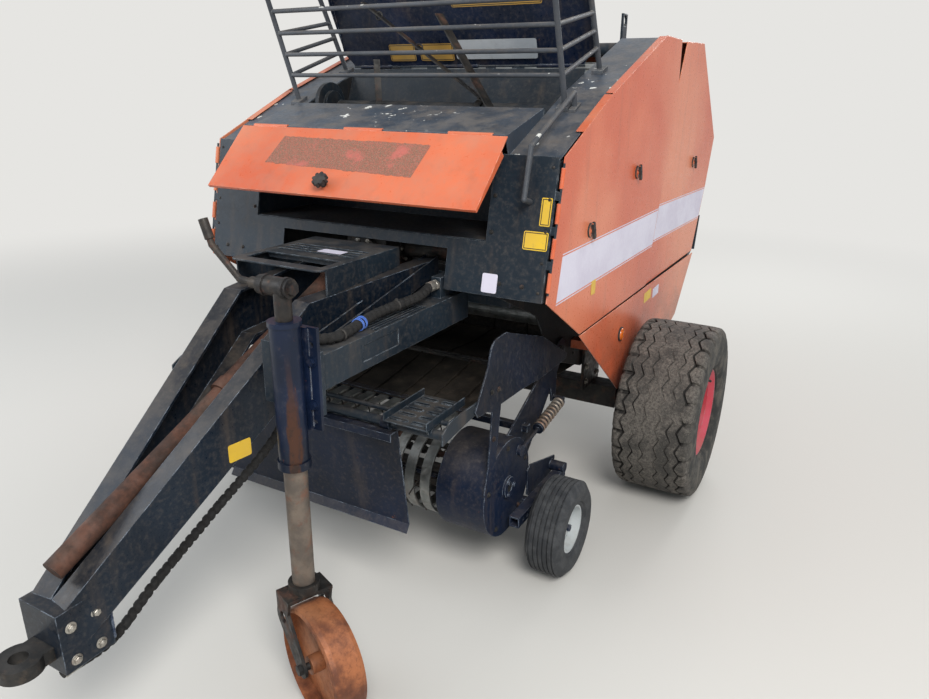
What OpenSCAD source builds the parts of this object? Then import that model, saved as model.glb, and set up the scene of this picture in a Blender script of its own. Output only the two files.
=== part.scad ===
// Round baler for big bales, towed, with a tined pickup and a swing-up tailgate.
// Millimetres. +Z is up, the hitch points to -Y, +X is the machine's left side.
// All pieces are written with y = 0 at the wheel axle and then moved by axle_y.

/* [Overall] */
// Distance from the axle to the front of the hitch eye
hitch_reach = 2750; // [2700:10:2900]
// Distance from the axle to the rearmost point of the tailgate
tail_reach = 1431; // [1420:1:1440]
// Room between a chamber wall and the outside of the side panels
side_room = 208; // [204:1:220]
// Width of the bale chamber between its walls
chamber_w = 1200; // [1180:10:1210]
// Radius of the bale chamber
chamber_r = 600; // [580:5:610]
// Thickness of the chamber walls
wall_t = 6; // [4:1:8]
// Thickness of the sheet metal covers
sheet_t = 4; // [3:0.5:5]

/* [Wheels] */
// Outer radius of the main tyres
tyre_r = 425; // [415:1:430]
// Width of the main tyres
tyre_w = 375; // [340:5:385]
// Gap between the side panels and the main tyres
tyre_gap = 34.5; // [30:0.5:60]
// Height of the tread lugs
lug_h = 20; // [12:1:24]
// Number of tread lugs around one side of a tyre
lug_count = 22; // [18:1:26]
// Radius of the rim under the tyre bead
rim_r = 216; // [205:1:225]
// Radius of the wheel spindle
spindle_r = 30; // [25:1:36]
// Radial running clearance of wheels, pins and shafts
run_gap = 0.05; // [0.03:0.01:0.1]

/* [Pickup] */
// Reach of the pickup past the chamber walls on each side
pickup_overhang = 45; // [42:1:55]
// Width of a closed end drum
drum_w = 217; // [190:1:230]
// Radius of the closed end drums
drum_r = 205; // [190:1:215]
// Distance of the reel centre in front of the axle
reel_reach = 1090; // [1080:1:1100]
// Height of the reel centre
reel_z = 395; // [385:1:410]
// Radius of the stripper bands
band_r = 180; // [170:1:185]
// Width of one stripper band
band_w = 44; // [36:1:50]
// Pitch of the stripper bands
band_pitch = 74; // [66:1:80]
// Radius of the tine tips
tine_r = 240; // [230:1:250]
// Radius of a tine wire
tine_wire_r = 3; // [2.5:0.5:4]
// Number of tine bars on the reel
tine_bars = 4; // [3:1:6]
// Radius of the gauge wheels
gauge_r = 203; // [195:1:208]
// Width of the gauge wheels
gauge_w = 157; // [140:1:165]
// Gap between the pickup's side and a gauge wheel
gauge_gap = 104; // [100:1:120]

/* [Drawbar] */
// Radius of the hole in the hitch eye
eye_r = 25; // [20:0.5:30]
// Height of the hitch eye
eye_z = 470; // [440:5:520]
// Depth of the drawbar arms
arm_depth = 205; // [180:5:230]
// Plate thickness of the drawbar
arm_t = 10; // [8:1:14]

/* [Jack] */
// Distance of the jack from the centre plane
jack_x = 375; // [365:1:390]
// Distance of the jack in front of the axle
jack_reach = 2000; // [1990:1:2030]
// Outer radius of the jack tube
jack_tube_r = 45; // [42:1:50]
// Outer radius of the jack leg
jack_leg_r = 36; // [30:1:38]
// Radius of the jack wheel
jack_wheel_r = 190; // [180:1:195]
// Width of the jack wheel
jack_wheel_w = 110; // [90:1:120]

/* [Tailgate] */
// Distance of the tailgate pivot behind the axle
pivot_y = 455; // [450:1:465]
// Height of the tailgate pivot
pivot_z = 2110; // [2100:1:2120]
// Radius of the pivot tube
pivot_r = 34; // [30:1:40]
// Gap between fixed walls and moving walls
seam_gap = 14; // [10:1:20]
// Radius of the chamber rollers
roller_r = 85; // [75:1:90]

/* [Hidden] */

$fn = 48;
plate_t = 6;
axle_y = (hitch_reach - tail_reach) / 2;
axle_z = tyre_r;
navy = "#1f2f4a";
hood_grey = "#2b3743";
orange = "#d9653f";
steel_dark = "#3a3a3c";
galv = "#9aa0a4";
rust = "#8a5138";
rubber = "#3b3835";

wall_x = chamber_w / 2 + 4;
body_half_w = wall_x + wall_t + side_room;
half_track = body_half_w + tyre_gap + tyre_w / 2;
pickup_half_w = wall_x + wall_t + pickup_overhang;
tined_half_w = pickup_half_w - plate_t - drum_w;
gauge_x = pickup_half_w + gauge_gap + gauge_w / 2;
skin_x = body_half_w - sheet_t;
tail_skin_x = skin_x - 8 - sheet_t;
seat_gap = 0.3;
lid_half = wall_x + 16;
hinge_half = wall_x - 4;
lift_arm_x = wall_x + wall_t + 6;
lift_arm_t = 8;
chamber_y = 455;
chamber_z = 1350;

// Side view outline points, as [y, z]
front_low = [-1166, 1205];
front_top = [-1060, 1700];
step_top = [-590, 1905];
roof_front = [104, 2150];
notch_front = [374, 2146];
notch_low = [391, 1876];
notch_rear = [536, 2146];
roof_rear = [901, 2156];
tail_far = [tail_reach, 1644];
tail_mid = [1329, 1362];
tail_low = [1135, 985];
seam_low = [115, 985];
guard_front = [-805, 985];
guard_tip = [-226, 550];
guard_belly = [450, 550];
guard_rear = [825, 662];
guard_top = [1120, 975];

module at_axle() { translate([0, axle_y, 0]) children(); }
module on_side(s) { mirror([s < 0 ? 1 : 0, 0, 0]) children(); }
module both_sides() { for (s = [-1, 1]) on_side(s) children(); }

// A plate with a side view outline, its inner face at x and its thickness outwards
module side_plate(outline, x, t) {
    translate([x, 0, 0]) rotate([90, 0, 90]) linear_extrude(t) polygon(outline);
}
module tube_x(x0, x1, y, z, r) { translate([x0, y, z]) rotate([0, 90, 0]) cylinder(h = x1 - x0, r = r); }
module block(low, high) { translate(low) cube(high - low); }

// A round bar between two points
module bar(a, b, r) {
    d = b - a;
    translate(a) rotate([0, acos(d[2] / norm(d)), atan2(d[1], d[0])]) cylinder(h = norm(d), r = r);
}

// Round bars along a list of points with ball corners
module bent_bar(points, r) {
    for (i = [0 : len(points) - 2]) bar(points[i], points[i + 1], r);
    for (i = [1 : len(points) - 2]) translate(points[i]) sphere(r = 1.05 * r);
}

// Mitre normal of a polyline at point i, scaled to keep the sheet thickness
function unit(v) = v / norm(v);
function left_of(v) = [-v[1], v[0]];
function seg(p, i) = unit(p[i + 1] - p[i]);
function mitre(p, i) =
    let (a = left_of(seg(p, max(i - 1, 0))), b = left_of(seg(p, min(i, len(p) - 2))), m = unit(a + b))
    m / (m * a);
// Closed outline of a folded sheet of thickness t to the left of the polyline p
function folded(p, t) = concat(p, [for (i = [len(p) - 1 : -1 : 0]) p[i] + mitre(p, i) * t]);
module folded_sheet(p, t, x0, x1) { side_plate(folded(p, t), x0, x1 - x0); }

function lerp(a, b, k) = a + (b - a) * k;

// A plate whose outline is drawn in plan, from z upwards
module flat_plate(outline, z, t) { translate([0, 0, z]) linear_extrude(t) polygon(outline); }
// Points on an arc around c, in the plane of the outline
function arc(c, r, a0, a1, n) = [for (i = [0 : n]) c + r * [cos(lerp(a0, a1, i / n)), sin(lerp(a0, a1, i / n))]];
// A hexagon bolt head or nut along +X
module hex_x(x, y, z, across, h) {
    translate([x, y, z]) rotate([0, 90, 0]) cylinder(h = h, r = across / sqrt(3), $fn = 6);
}
// Outline of a belt drawn tight around circles [y, z, r] in anticlockwise order
function leave_angle(a, b) = atan2(b[1] - a[1], b[0] - a[0]) - acos((a[2] - b[2]) / norm([b[0] - a[0], b[1] - a[1]]));
function turn_up(from, to) = to < from ? turn_up(from, to + 360) : to > from + 360 ? turn_up(from, to - 360) : to;
function belt_turn(c, i) =
    let (n = len(c), start = leave_angle(c[(i + n - 1) % n], c[i]))
    [start, turn_up(start, leave_angle(c[i], c[(i + 1) % n]))];
function belt(c, n) = [
    for (i = [0 : len(c) - 1]) let (t = belt_turn(c, i))
        each arc([c[i][0], c[i][1]], c[i][2], t[0], t[1], n)
];
// The same belt as links: [point, outward normal] pairs about half a pitch apart
function belt_links(c, pitch) = [
    for (i = [0 : len(c) - 1])
        let (t = belt_turn(c, i), o = [c[i][0], c[i][1]], r = c[i][2], next = c[(i + 1) % len(c)],
            steps = max(1, round((t[1] - t[0]) * PI / 180 * r / pitch)),
            out = [cos(t[1]), sin(t[1])], from = o + r * out, to = [next[0], next[1]] + next[2] * out,
            run = max(1, round(norm(to - from) / pitch)))
        each concat(
            [for (k = [0 : 2 * steps - 1]) let (a = lerp(t[0], t[1], k / steps / 2)) [o + r * [cos(a), sin(a)], [cos(a), sin(a)], k % 2]],
            [for (k = [0 : 2 * run - 1]) [lerp(from, to, k / run / 2), out, k % 2]])
];
// A flat bar of width w and thickness t between two points
module flat_bar(a, b, w, t) {
    d = b - a;
    translate(a) rotate([0, acos(d[2] / norm(d)), atan2(d[1], d[0])]) translate([-t / 2, -w / 2, 0]) cube([t, w, norm(d)]);
}
// A slot with round ends through a plate, length along X of its own frame
module slot_cut(length, width, depth) {
    for (s = [-1, 1]) translate([s * (length - width) / 2, 0, 0]) cylinder(h = depth, r = width / 2, $fn = 16);
    translate([-(length - width) / 2, -width / 2, 0]) cube([length - width, width, depth]);
}

// Depth of the roof strips under the top edge of the side panels
roof_drop = 8;
// Chamber walls with the fixed ears of the tailgate pivot and the pins of the moving pieces
ear_t = 10;
module side_frames() {
    under_roof = [0, -roof_drop - 1.12 * sheet_t - seat_gap];
    outline = [
        front_low + [1, 5], front_top + [3, -12], step_top + under_roof, roof_front + under_roof,
        [pivot_y - pivot_r - 40, 2146] + under_roof, [pivot_y - pivot_r - 40, 1990], notch_low + [-40, -40],
        seam_low + [-60, 0], [60, 640], [-190, 620], [-560, 760], guard_front + [40, 40]
    ];
    ear = [[300, 1950], [360, 2138], [pivot_y + 42, 2160], [pivot_y + 50, pivot_z - 30], [380, 1900]];
    color(steel_dark) at_axle() both_sides() {
        difference() {
            union() {
                side_plate(outline, wall_x, wall_t);
                side_plate(ear, wall_x + wall_t, ear_t);
            }
            tube_x(wall_x - 1, wall_x + wall_t + ear_t + 1, pivot_y, pivot_z, pivot_r);
        }
        tube_x(wall_x + wall_t, lift_arm_x + lift_arm_t + 8, lift_pivot[0], lift_pivot[1], lift_pin_r);
        tube_x(wall_x + wall_t, cyl_x + 30, cyl_base[0], cyl_base[1], cyl_pin_r);
    }
}

module cross_beam() {
    color(hood_grey) at_axle() block([-wall_x, -1010, 1120], [wall_x, -900, 1230]);
}

module axle() {
    half = half_track - 280;
    color(steel_dark) at_axle() {
        difference() {
            block([-half, -55, axle_z - 55], [half, 55, axle_z + 55]);
            block([-half + 12, -47, axle_z - 47], [half - 12, 47, axle_z + 47]);
        }
        both_sides() {
            tube_x(half, half_track + 60, 0, axle_z, spindle_r);
            tube_x(half, half_track - 78, 0, axle_z, spindle_r + 14);
            side_plate([[-170, axle_z + 55], [60, axle_z + 55], [60, 800], [-60, 880], [-170, 800]],
                wall_x + wall_t, 14);
        }
    }
}

arm_rear_y = -1010;
arm_bend_y = -1690;
arm_tip_y = -2600;
arm_top_z = 1270;
arm_rear_x = 275;
arm_tip_x = 62;

// One drawbar arm: a deep plate with inward top and bottom flanges, in a vertical plane that
// runs in towards the hitch
module drawbar_arm() {
    top = [[arm_rear_y, arm_top_z + 10], [arm_bend_y, arm_top_z - 25], [arm_tip_y, 600]];
    run = arm_tip_y - arm_rear_y;
    yaw = atan2(arm_rear_x - arm_tip_x, -run);
    web = concat(top, [[arm_tip_y, 600 - arm_depth + 60], [arm_bend_y + 60, arm_top_z - arm_depth],
        [arm_rear_y, arm_top_z - arm_depth]]);
    translate([arm_rear_x, arm_rear_y, 0]) rotate([0, 0, -yaw]) translate([0, -arm_rear_y, 0]) {
        side_plate(web, 0, arm_t);
        side_plate(folded(top, arm_t), -62, 72);
        side_plate(folded([[arm_rear_y, arm_top_z - arm_depth], [arm_bend_y + 60, arm_top_z - arm_depth],
            [arm_tip_y, 600 - arm_depth + 60]], arm_t), -62, 72);
    }
}

// Open channel that ties the jack's mounting plate back to the cross beam
channel_w = 60;
channel_h = 70;
channel_x = 222;
module rear_channel() {
    line = [[arm_rear_y, 1290], [-jack_reach + jack_tube_r + 25, 1100]];
    for (x = [channel_x, channel_x + channel_w - plate_t])
        side_plate([line[0], line[1], line[1] - [0, channel_h], line[0] - [0, channel_h]], x, plate_t);
    folded_sheet([for (k = [0.003, 1]) lerp(line[0], line[1], k) - [0, channel_h - plate_t]], plate_t,
        channel_x, channel_x + channel_w);
}
module drawbar() {
    color(navy) at_axle() {
        both_sides() drawbar_arm();
        rear_channel();
        difference() {
            block([-80, arm_tip_y - 20, eye_z - 60], [80, arm_tip_y + 130, 600]);
            block([-70, arm_tip_y + 40, eye_z - 50], [70, arm_tip_y + 131, 590]);
        }
    }
}

module hitch_eye() {
    ring_y = -hitch_reach + eye_r + 35;
    color(steel_dark) at_axle() difference() {
        union() {
            translate([0, ring_y, eye_z - 20]) cylinder(h = 40, r = eye_r + 35);
            block([-45, ring_y, eye_z - 20], [45, arm_tip_y - 20, eye_z + 20]);
        }
        translate([0, ring_y, eye_z - 21]) cylinder(h = 42, r = eye_r);
    }
}

bolt_x = 54;
bolt_z = [1172, 1036];
plate_hole_z = [1222, 978];
module jack_beam() {
    y0 = -jack_reach + jack_tube_r + 25;
    color(hood_grey) at_axle() {
        difference() {
            block([jack_x - 30, y0, 1058], [jack_x + 45, -1010, 1170]);
            block([jack_x - 22, y0 - 1, 1066], [jack_x + 37, -1020, 1162]);
            for (i = [0 : 3]) translate([jack_x - 15 + i * 15, -1460, 1161]) rotate([0, 0, 90]) slot_cut(320, 9, 10);
            block([jack_x + 42, -1700, 1086], [jack_x + 46, -1500, 1142]);
        }
        block([channel_x, y0 - 14, 1000], [jack_x + 76, y0, 1200]);
        difference() {
            block([jack_x - 20, -1180, 1170], [jack_x + 20, -1060, 1250]);
            for (z = [1196, 1224]) tube_x(jack_x - 21, jack_x - 12, -1150, z, 9);
        }
    }
}

module gearbox() {
    body = [[-1100, 1236], [-1100, 1350], [-1060, 1385], [-940, 1385], [-905, 1350], [-905, 1230], [-1084, 1230]];
    color(steel_dark) at_axle() {
        side_plate(body, -95, 190);
        tube_x(-108, 108, -955, 1300, 62);
        translate([0, -1100, 1300]) rotate([90, 0, 0]) cylinder(h = 26, r = 58);
        translate([0, -1100, 1300]) rotate([90, 0, 0]) cylinder(h = 90, r = 34);
        for (x = [-60, 0, 60]) side_plate([[-1060, 1384], [-940, 1384], [-960, 1394], [-1040, 1394]], x - 4, 8);
        tube_x(98, wall_x, -955, 1300, 40);
    }
}

pto_rear = [0, -1201.5, 1290.8];
pto_front = [0, -2560, 678];
module pto_shaft() {
    joint = lerp(pto_rear, pto_front, 0.52);
    color(rust) at_axle() {
        bar(pto_rear, joint, 37);
        bar(joint, pto_front, 32);
        bar(lerp(pto_rear, pto_front, 0.5), lerp(pto_rear, pto_front, 0.53), 42);
        bar(lerp(pto_rear, pto_front, 0.03), lerp(pto_rear, pto_front, 0.1), 46);
    }
}

function arm_top_at(y) = arm_top_z + 10 - 35 * (arm_rear_y - y) / (arm_rear_y - arm_bend_y);
module driveline_guard() {
    half = 206;
    front = -1640;
    rear = -1170;
    top = 1345;
    color(hood_grey) at_axle() {
        difference() {
            flat_plate(concat(arc([half - 30, front + 30], 30, -90, 0, 5), [[half, rear], [-half, rear]],
                arc([-half + 30, front + 30], 30, 180, 270, 5)), top - plate_t, plate_t);
            for (i = [0 : 3]) translate([0, -1322 - i * 32, top - plate_t - 1]) slot_cut(350, 18, plate_t + 2);
            block([-172, -1590, top - plate_t - 1], [172, -1484, top + 1]);
        }
        both_sides() {
            side_plate([[front + 34, arm_top_at(front + 34)], [rear, arm_top_at(rear)], [rear, top - 1], [front + 34, top - 1]],
                200, plate_t);
            folded_sheet([[-1474, top - 1], [-1474, top - 24]], 4, -172, 172);
        }
    }
}

face_angle = atan2(front_top[1] - front_low[1], front_top[0] - front_low[0]);
face_len = norm(front_top - front_low);
open_half = 555;
shelf_z = 1395;
shelf_v = (shelf_z - front_low[1]) / sin(face_angle);
// Places children on the slanted front face: X across, Y up the slope, Z outwards
module on_face() { translate([0, front_low[0], front_low[1]]) rotate([face_angle, 0, 0]) children(); }

door_hinge_x = body_half_w + 2;
// Hinge knuckles of a door and the tabs of the hood between them, as [start, length] up the edge
door_knuckles = [[40, 70], [160, 70], [280, 70], [400, 70]];
door_tabs = [[120, 30], [240, 30], [360, 30]];
module front_hood() {
    edge_x = tail_skin_x;
    color(hood_grey) at_axle() {
        on_face() difference() {
            translate([-edge_x, 0, 0]) cube([2 * edge_x, face_len, sheet_t]);
            translate([-open_half, shelf_v, -1]) cube([2 * open_half, 330, sheet_t + 2]);
            translate([-400, -1, -1]) cube([800, shelf_v - 40, sheet_t + 2]);
        }
        both_sides() {
            side_plate([front_low + [3, 0], front_low + [62, 0], front_top + [62, -14], front_top + [3, -roof_drop - 6]],
                edge_x - sheet_t, sheet_t);
            on_face() {
                translate([door_hinge_x, 30, 0]) rotate([-90, 0, 0]) cylinder(h = face_len - 50, r = pin_r);
                for (v = door_tabs) translate([edge_x - sheet_t, v[0], -3]) cube([door_hinge_x - edge_x + sheet_t, v[1], 6]);
            }
        }
    }
}

module twine_box() {
    floor_y = -760;
    color(hood_grey) at_axle() {
        block([-open_half, -1124, shelf_z], [open_half, floor_y, shelf_z + sheet_t]);
        block([-wall_x, floor_y, shelf_z], [wall_x, floor_y + sheet_t, 1840]);
        both_sides() side_plate([[-1124, shelf_z], [-760, shelf_z], [-760, 1840], [-1060, 1700]],
            open_half, sheet_t);
    }
}

roof_mid = [[-1082, 1763], [-764, 1850]];
pin_r = 4;
// Knuckle places along a hinge, as [start, length] from its middle
lid_knuckles = [[-hinge_half + 40, 180], [-90, 180], [hinge_half - 220, 180]];
lid_tabs = [[-hinge_half + 270, 60], [-180, 50], [130, 50], [hinge_half - 340, 60]];
module roof() {
    inner = wall_x;
    color(hood_grey) at_axle() {
        folded_sheet([roof_mid[1], roof_mid[0]], sheet_t, -inner, inner);
        tube_x(-hinge_half, hinge_half, lid_hinge[0], lid_hinge[1], pin_r);
        for (t = lid_tabs) block([t[0], lid_hinge[0], lid_hinge[1] - 3], [t[0] + t[1], roof_mid[0][0] + 2, lid_hinge[1] + 1]);
        both_sides() side_plate([front_top + [5, -8], roof_mid[0] + [0, -3], roof_mid[1] + [0, -3], [-764, 1822]],
            inner - sheet_t, sheet_t);
        both_sides() folded_sheet([notch_front + [-20, -roof_drop], roof_front + [0, -roof_drop],
            step_top + [0, -roof_drop], front_top + [0, -roof_drop]], sheet_t, inner, tail_skin_x);
    }
}

roll_at = [-520, 1815];
module net_trough() {
    color(hood_grey) at_axle() {
        folded_sheet([[-340, 2000], [-420, 1800], [-700, 1700], [-756, 1845]], -sheet_t, -wall_x, wall_x);
        tube_x(-wall_x, wall_x, roll_at[0], roll_at[1], 45);
        tube_x(-wall_x, -wall_x + 14, -570, 1840, 14);
        tube_x(-wall_x + 14, -wall_x + 34, -570, 1840, 100);
        tube_x(-wall_x + 30, -wall_x + 52, -570, 1840, 62);
        tube_x(-hinge_half, hinge_half, net_hinge[0], net_hinge[1], pin_r);
        for (t = lid_tabs) block([t[0], net_hinge[0] - 2, 1996], [t[0] + t[1], net_hinge[0] + 2, net_hinge[1]]);
    }
}

// Twine arms on the trough as foot x, foot y, head x, head y, head z, width
arm_feet = [[-270, -605, -362, -490, 2040, 30], [380, -640, -20, -500, 2220, 44]];
// Top of the trough floor over y, with the seat's gap
function trough_z(y) = 1800 + (y + 420) * 100 / 280 + sheet_t * 1.062 + seat_gap;
clamp_x = 205;
module net_arms() {
    color(steel_dark) at_axle() {
        for (a = arm_feet) {
            side_plate([for (p = [[-25, 0], [25, 0], [25, 12], [-25, 12]]) [a[1] + p[0], trough_z(a[1] + p[0]) + p[1]]], a[0] - 22, 44);
            flat_bar([a[0], a[1], trough_z(a[1]) + 16], [a[2], a[3], a[4]], a[5], 6);
        }
        difference() {
            union() {
                tube_x(clamp_x - 16, clamp_x + 16, roll_at[0], roll_at[1], 56);
                block([clamp_x - 16, roll_at[0] - 12, roll_at[1] + 50], [clamp_x + 16, roll_at[0] + 12, roll_at[1] + 72]);
            }
            tube_x(clamp_x - 17, clamp_x + 17, roll_at[0], roll_at[1], 45 + seat_gap);
            block([clamp_x - 17, roll_at[0] - 60, roll_at[1] - 60], [clamp_x + 17, roll_at[0] + 60, roll_at[1] - 20]);
        }
        flat_bar([clamp_x, roll_at[0], roll_at[1] + 62], [-420, -500, 2280], 36, 6);
        for (x = [-118, -330]) translate([x, -505, 2280 - (x + 420) * 0.645]) rotate([90, 0, 0]) rotate_extrude($fn = 24) translate([16, 0]) circle(r = 4, $fn = 16);
    }
}

rack_half = 662;
rack_bar_r = 11;
rack_foot = [-696, roof_z(-696) + 10];
rack_head = [-905, 2395];
rack_back_foot = [-332, roof_z(-332) + 10];
rack_back_head = [-560, 2395];
rack_levels = [0.2, 0.36, 0.52, 0.68, 0.84, 1];
function rack_front(s, k) = [s * rack_half, lerp(rack_foot, rack_head, k)[0], lerp(rack_foot, rack_head, k)[1]];
function rack_back(s, k) =
    [s * rack_half, lerp(rack_back_foot, rack_back_head, k)[0], lerp(rack_back_foot, rack_back_head, k)[1]];
// Height of the side roof over y
function roof_z(y) = (y < step_top[0] ? lerp(front_top, step_top, (y - front_top[0]) / (step_top[0] - front_top[0]))
    : lerp(step_top, roof_front, (y - step_top[0]) / (roof_front[0] - step_top[0])))[1] - roof_drop;
module foot_pad(s, y, x, half, t) {
    on_side(s) side_plate([[y - 30, roof_z(y - 30)], [y + 30, roof_z(y + 30)], [y + 30, roof_z(y + 30) + t],
        [y - 30, roof_z(y - 30) + t]] + [for (i = [0 : 3]) [0, seat_gap]], x - half, 2 * half);
}
module rack() {
    color(steel_dark) at_axle() {
        for (s = [-1, 1]) for (y = [rack_foot[0], rack_back_foot[0]]) foot_pad(s, y, rack_half, 25, 14);
        for (s = [-1, 1]) {
            bar(rack_front(s, 0), rack_front(s, 1), rack_bar_r);
            bar(rack_back(s, 0), rack_back(s, 1), rack_bar_r);
            for (k = rack_levels) bar(rack_front(s, k), rack_back(s, k), rack_bar_r - 2);
        }
        for (k = rack_levels) bar(rack_front(-1, k), rack_front(1, k), rack_bar_r - 2);
    }
}

module top_tube() {
    color(hood_grey) at_axle() {
        tube_x(-wall_x - 40, wall_x + 40, pivot_y, pivot_z, pivot_r);
        difference() {
            block([490, pivot_y - 32, pivot_z], [502, pivot_y + 32, pivot_z + 168]);
            tube_x(489, 503, pivot_y, pivot_z + 135, 25);
        }
    }
}

rail_foot = [704, -700];
module grab_rail() {
    foot_z = roof_z(rail_foot[1]) + 8;
    color(steel_dark) at_axle() {
        foot_pad(1, rail_foot[1], rail_foot[0], 14, 10);
        bent_bar([[rail_foot[0], rail_foot[1], foot_z], [704, -715, 1905], [710, -1100, 1735],
            [712, -1150, 1560], [712, -1099, 1546]], 10);
    }
}

module lower_guards() {
    outline = [guard_front, [guard_tip[0], guard_tip[1]], guard_belly, guard_rear, guard_top];
    color(orange) at_axle() both_sides() {
        side_plate(outline, skin_x, sheet_t);
        block([wall_x + wall_t, -340, 760], [skin_x, -290, 800]);
        block([wall_x + wall_t, 30, 890], [skin_x, 80, 930]);
    }
}

// Chamber rollers of the fixed half, as angles around the chamber centre
front_roller_angles = [118, 143, 168, 193, 218];
roller_ring_r = chamber_r + roller_r;
roller_wall = 6;
roller_ribs = 8;
// Section of a roller: a tube with driving ribs
module roller_section() {
    difference() {
        union() {
            circle(r = roller_r - 6);
            for (i = [0 : roller_ribs - 1]) rotate(i * 360 / roller_ribs) translate([-5, 0]) square([10, roller_r]);
        }
        circle(r = roller_r - 6 - roller_wall);
    }
}
module roller(angle) {
    translate([-wall_x, chamber_y + roller_ring_r * cos(angle), chamber_z + roller_ring_r * sin(angle)])
        rotate([90, 0, 90]) linear_extrude(2 * wall_x) roller_section();
}
module front_rollers() {
    color(galv) at_axle() for (a = front_roller_angles) roller(a);
}

// Chain sprockets of the left side as [y, z, pitch radius]
sprocket_a = [-955, 1300, 85];
sprocket_b = [-215, 1492, 120];
sprocket_c = [-92, 1762, 85];
sprocket_d = [-212, 1196, 85];
sprocket_e = [-85, 928, 85];
chain_pitch = 57;
drive_x = wall_x + wall_t + 9;
drive_step = 24;
// Side view of a chain: links that are wide at their pins and narrow between them
module chain_outline(c) {
    links = belt_links(c, chain_pitch);
    difference() {
        polygon([for (l = links) l[0] + l[1] * (l[2] == 0 ? 8 : 5)]);
        polygon([for (l = links) l[0] - l[1] * (l[2] == 0 ? 8 : 5)]);
    }
}
module chain(c, x) { translate([x, 0, 0]) rotate([90, 0, 90]) linear_extrude(12) chain_outline(c); }
module sprocket(c, x) {
    teeth = round(2 * PI * c[2] / chain_pitch);
    translate([x + 3, c[0], c[1]]) rotate([90, 0, 90]) linear_extrude(6) {
        circle(r = c[2] - 7);
        for (i = [0 : teeth - 1]) rotate((i + 0.5) * 360 / teeth)
            polygon([[c[2] - 9, -9], [c[2] + 3, -3], [c[2] + 3, 3], [c[2] - 9, 9]]);
    }
}
module drive_shaft(c, x) {
    tube_x(wall_x + wall_t, x + 15, c[0], c[1], 20);
    tube_x(x + 1, x + 11, c[0], c[1], 32);
}
module side_drive() {
    color(steel_dark) at_axle() {
        for (c = [sprocket_a, sprocket_b]) sprocket(c, drive_x);
        for (c = [sprocket_b, sprocket_c, sprocket_d, sprocket_e]) sprocket(c, drive_x + drive_step);
        for (c = [sprocket_b, sprocket_c, sprocket_d, sprocket_e]) drive_shaft(c, drive_x + drive_step);
        drive_shaft(sprocket_a, drive_x);
        chain([sprocket_b, sprocket_a], drive_x);
        chain([sprocket_e, sprocket_c, sprocket_b, sprocket_d], drive_x + drive_step);
    }
}

jack_top = 1300;
jack_low = 840;
module jack_tube() {
    plate_y = jack_tube_r + 11;
    color(navy) at_axle() translate([jack_x, -jack_reach, 0]) {
        difference() {
            union() {
                translate([0, 0, jack_low]) cylinder(h = jack_top - jack_low, r = jack_tube_r);
                translate([0, 0, jack_top - 14]) cylinder(h = 14, r = jack_tube_r + 4);
                translate([0, 0, jack_low]) cylinder(h = 26, r = jack_tube_r + 5);
                block([-jack_tube_r, jack_tube_r - 12, 955], [jack_tube_r, plate_y, 1275]);
            }
            translate([0, 0, jack_low - 1]) cylinder(h = jack_top - jack_low - 20, r = jack_leg_r + run_gap);
        }
        difference() {
            block([-jack_tube_r, plate_y - 12, 955], [76, plate_y, 1275]);
            for (z = plate_hole_z) translate([jack_tube_r + 8, plate_y - 13, z]) rotate([-90, 0, 0]) cylinder(h = 14, r = 9);
            translate([0, 0, 900]) cylinder(h = 400, r = jack_tube_r - 2);
        }
        for (z = bolt_z) translate([bolt_x, plate_y - 12, z]) rotate([90, 0, 0]) {
            cylinder(h = 3, r = 17);
            cylinder(h = 13, r = 13, $fn = 6);
        }
    }
}
module jack_crank() {
    head_z = 95;
    color(rust) at_axle() translate([jack_x, -jack_reach, jack_top]) {
        cylinder(h = head_z - 8, r = 25);
        tube_x(-78, 34, 0, head_z, 28);
        tube_x(-62, -52, 0, head_z, 31);
        tube_x(14, 24, 0, head_z, 31);
        hex_x(33, 0, head_z, 34, 14);
        tube_x(-112, -77, 0, head_z, 17);
        bent_bar([[-100, 0, head_z], [-158, 0, head_z + 4], [-256, 0, head_z + 92], [-282, 0, head_z + 165]], 10);
        bar([-262, 0, head_z + 109], [-282, 0, head_z + 165], 14);
    }
}

// Points of the hose bundle along the jack's beam and of the one under the left drawbar arm
beam_hose = [[0, -1180.3, 1222], [0, -1230, 1222], [10, -1325, 1208], [-12, -1542, 1200], [8, -1780, 1189.2], [-52, -1872, 1189.2],
    [-52, -1892, 1110], [-52, -1885, 980]];
arm_hose = [[160, -1650, 1015.2], [157, -1710, 977.1], [130, -1830, 800], [60, -2060, 612], [34, -2280, 480],
    [38, -2450, 392.6], [38, -2610, 392.6]];
module hoses() {
    color(rubber) at_axle() {
        bent_bar([for (p = beam_hose) p + [jack_x, 0, 0]], 18, $fn = 20);
        bent_bar(arm_hose, 16, $fn = 20);
    }
}

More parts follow.
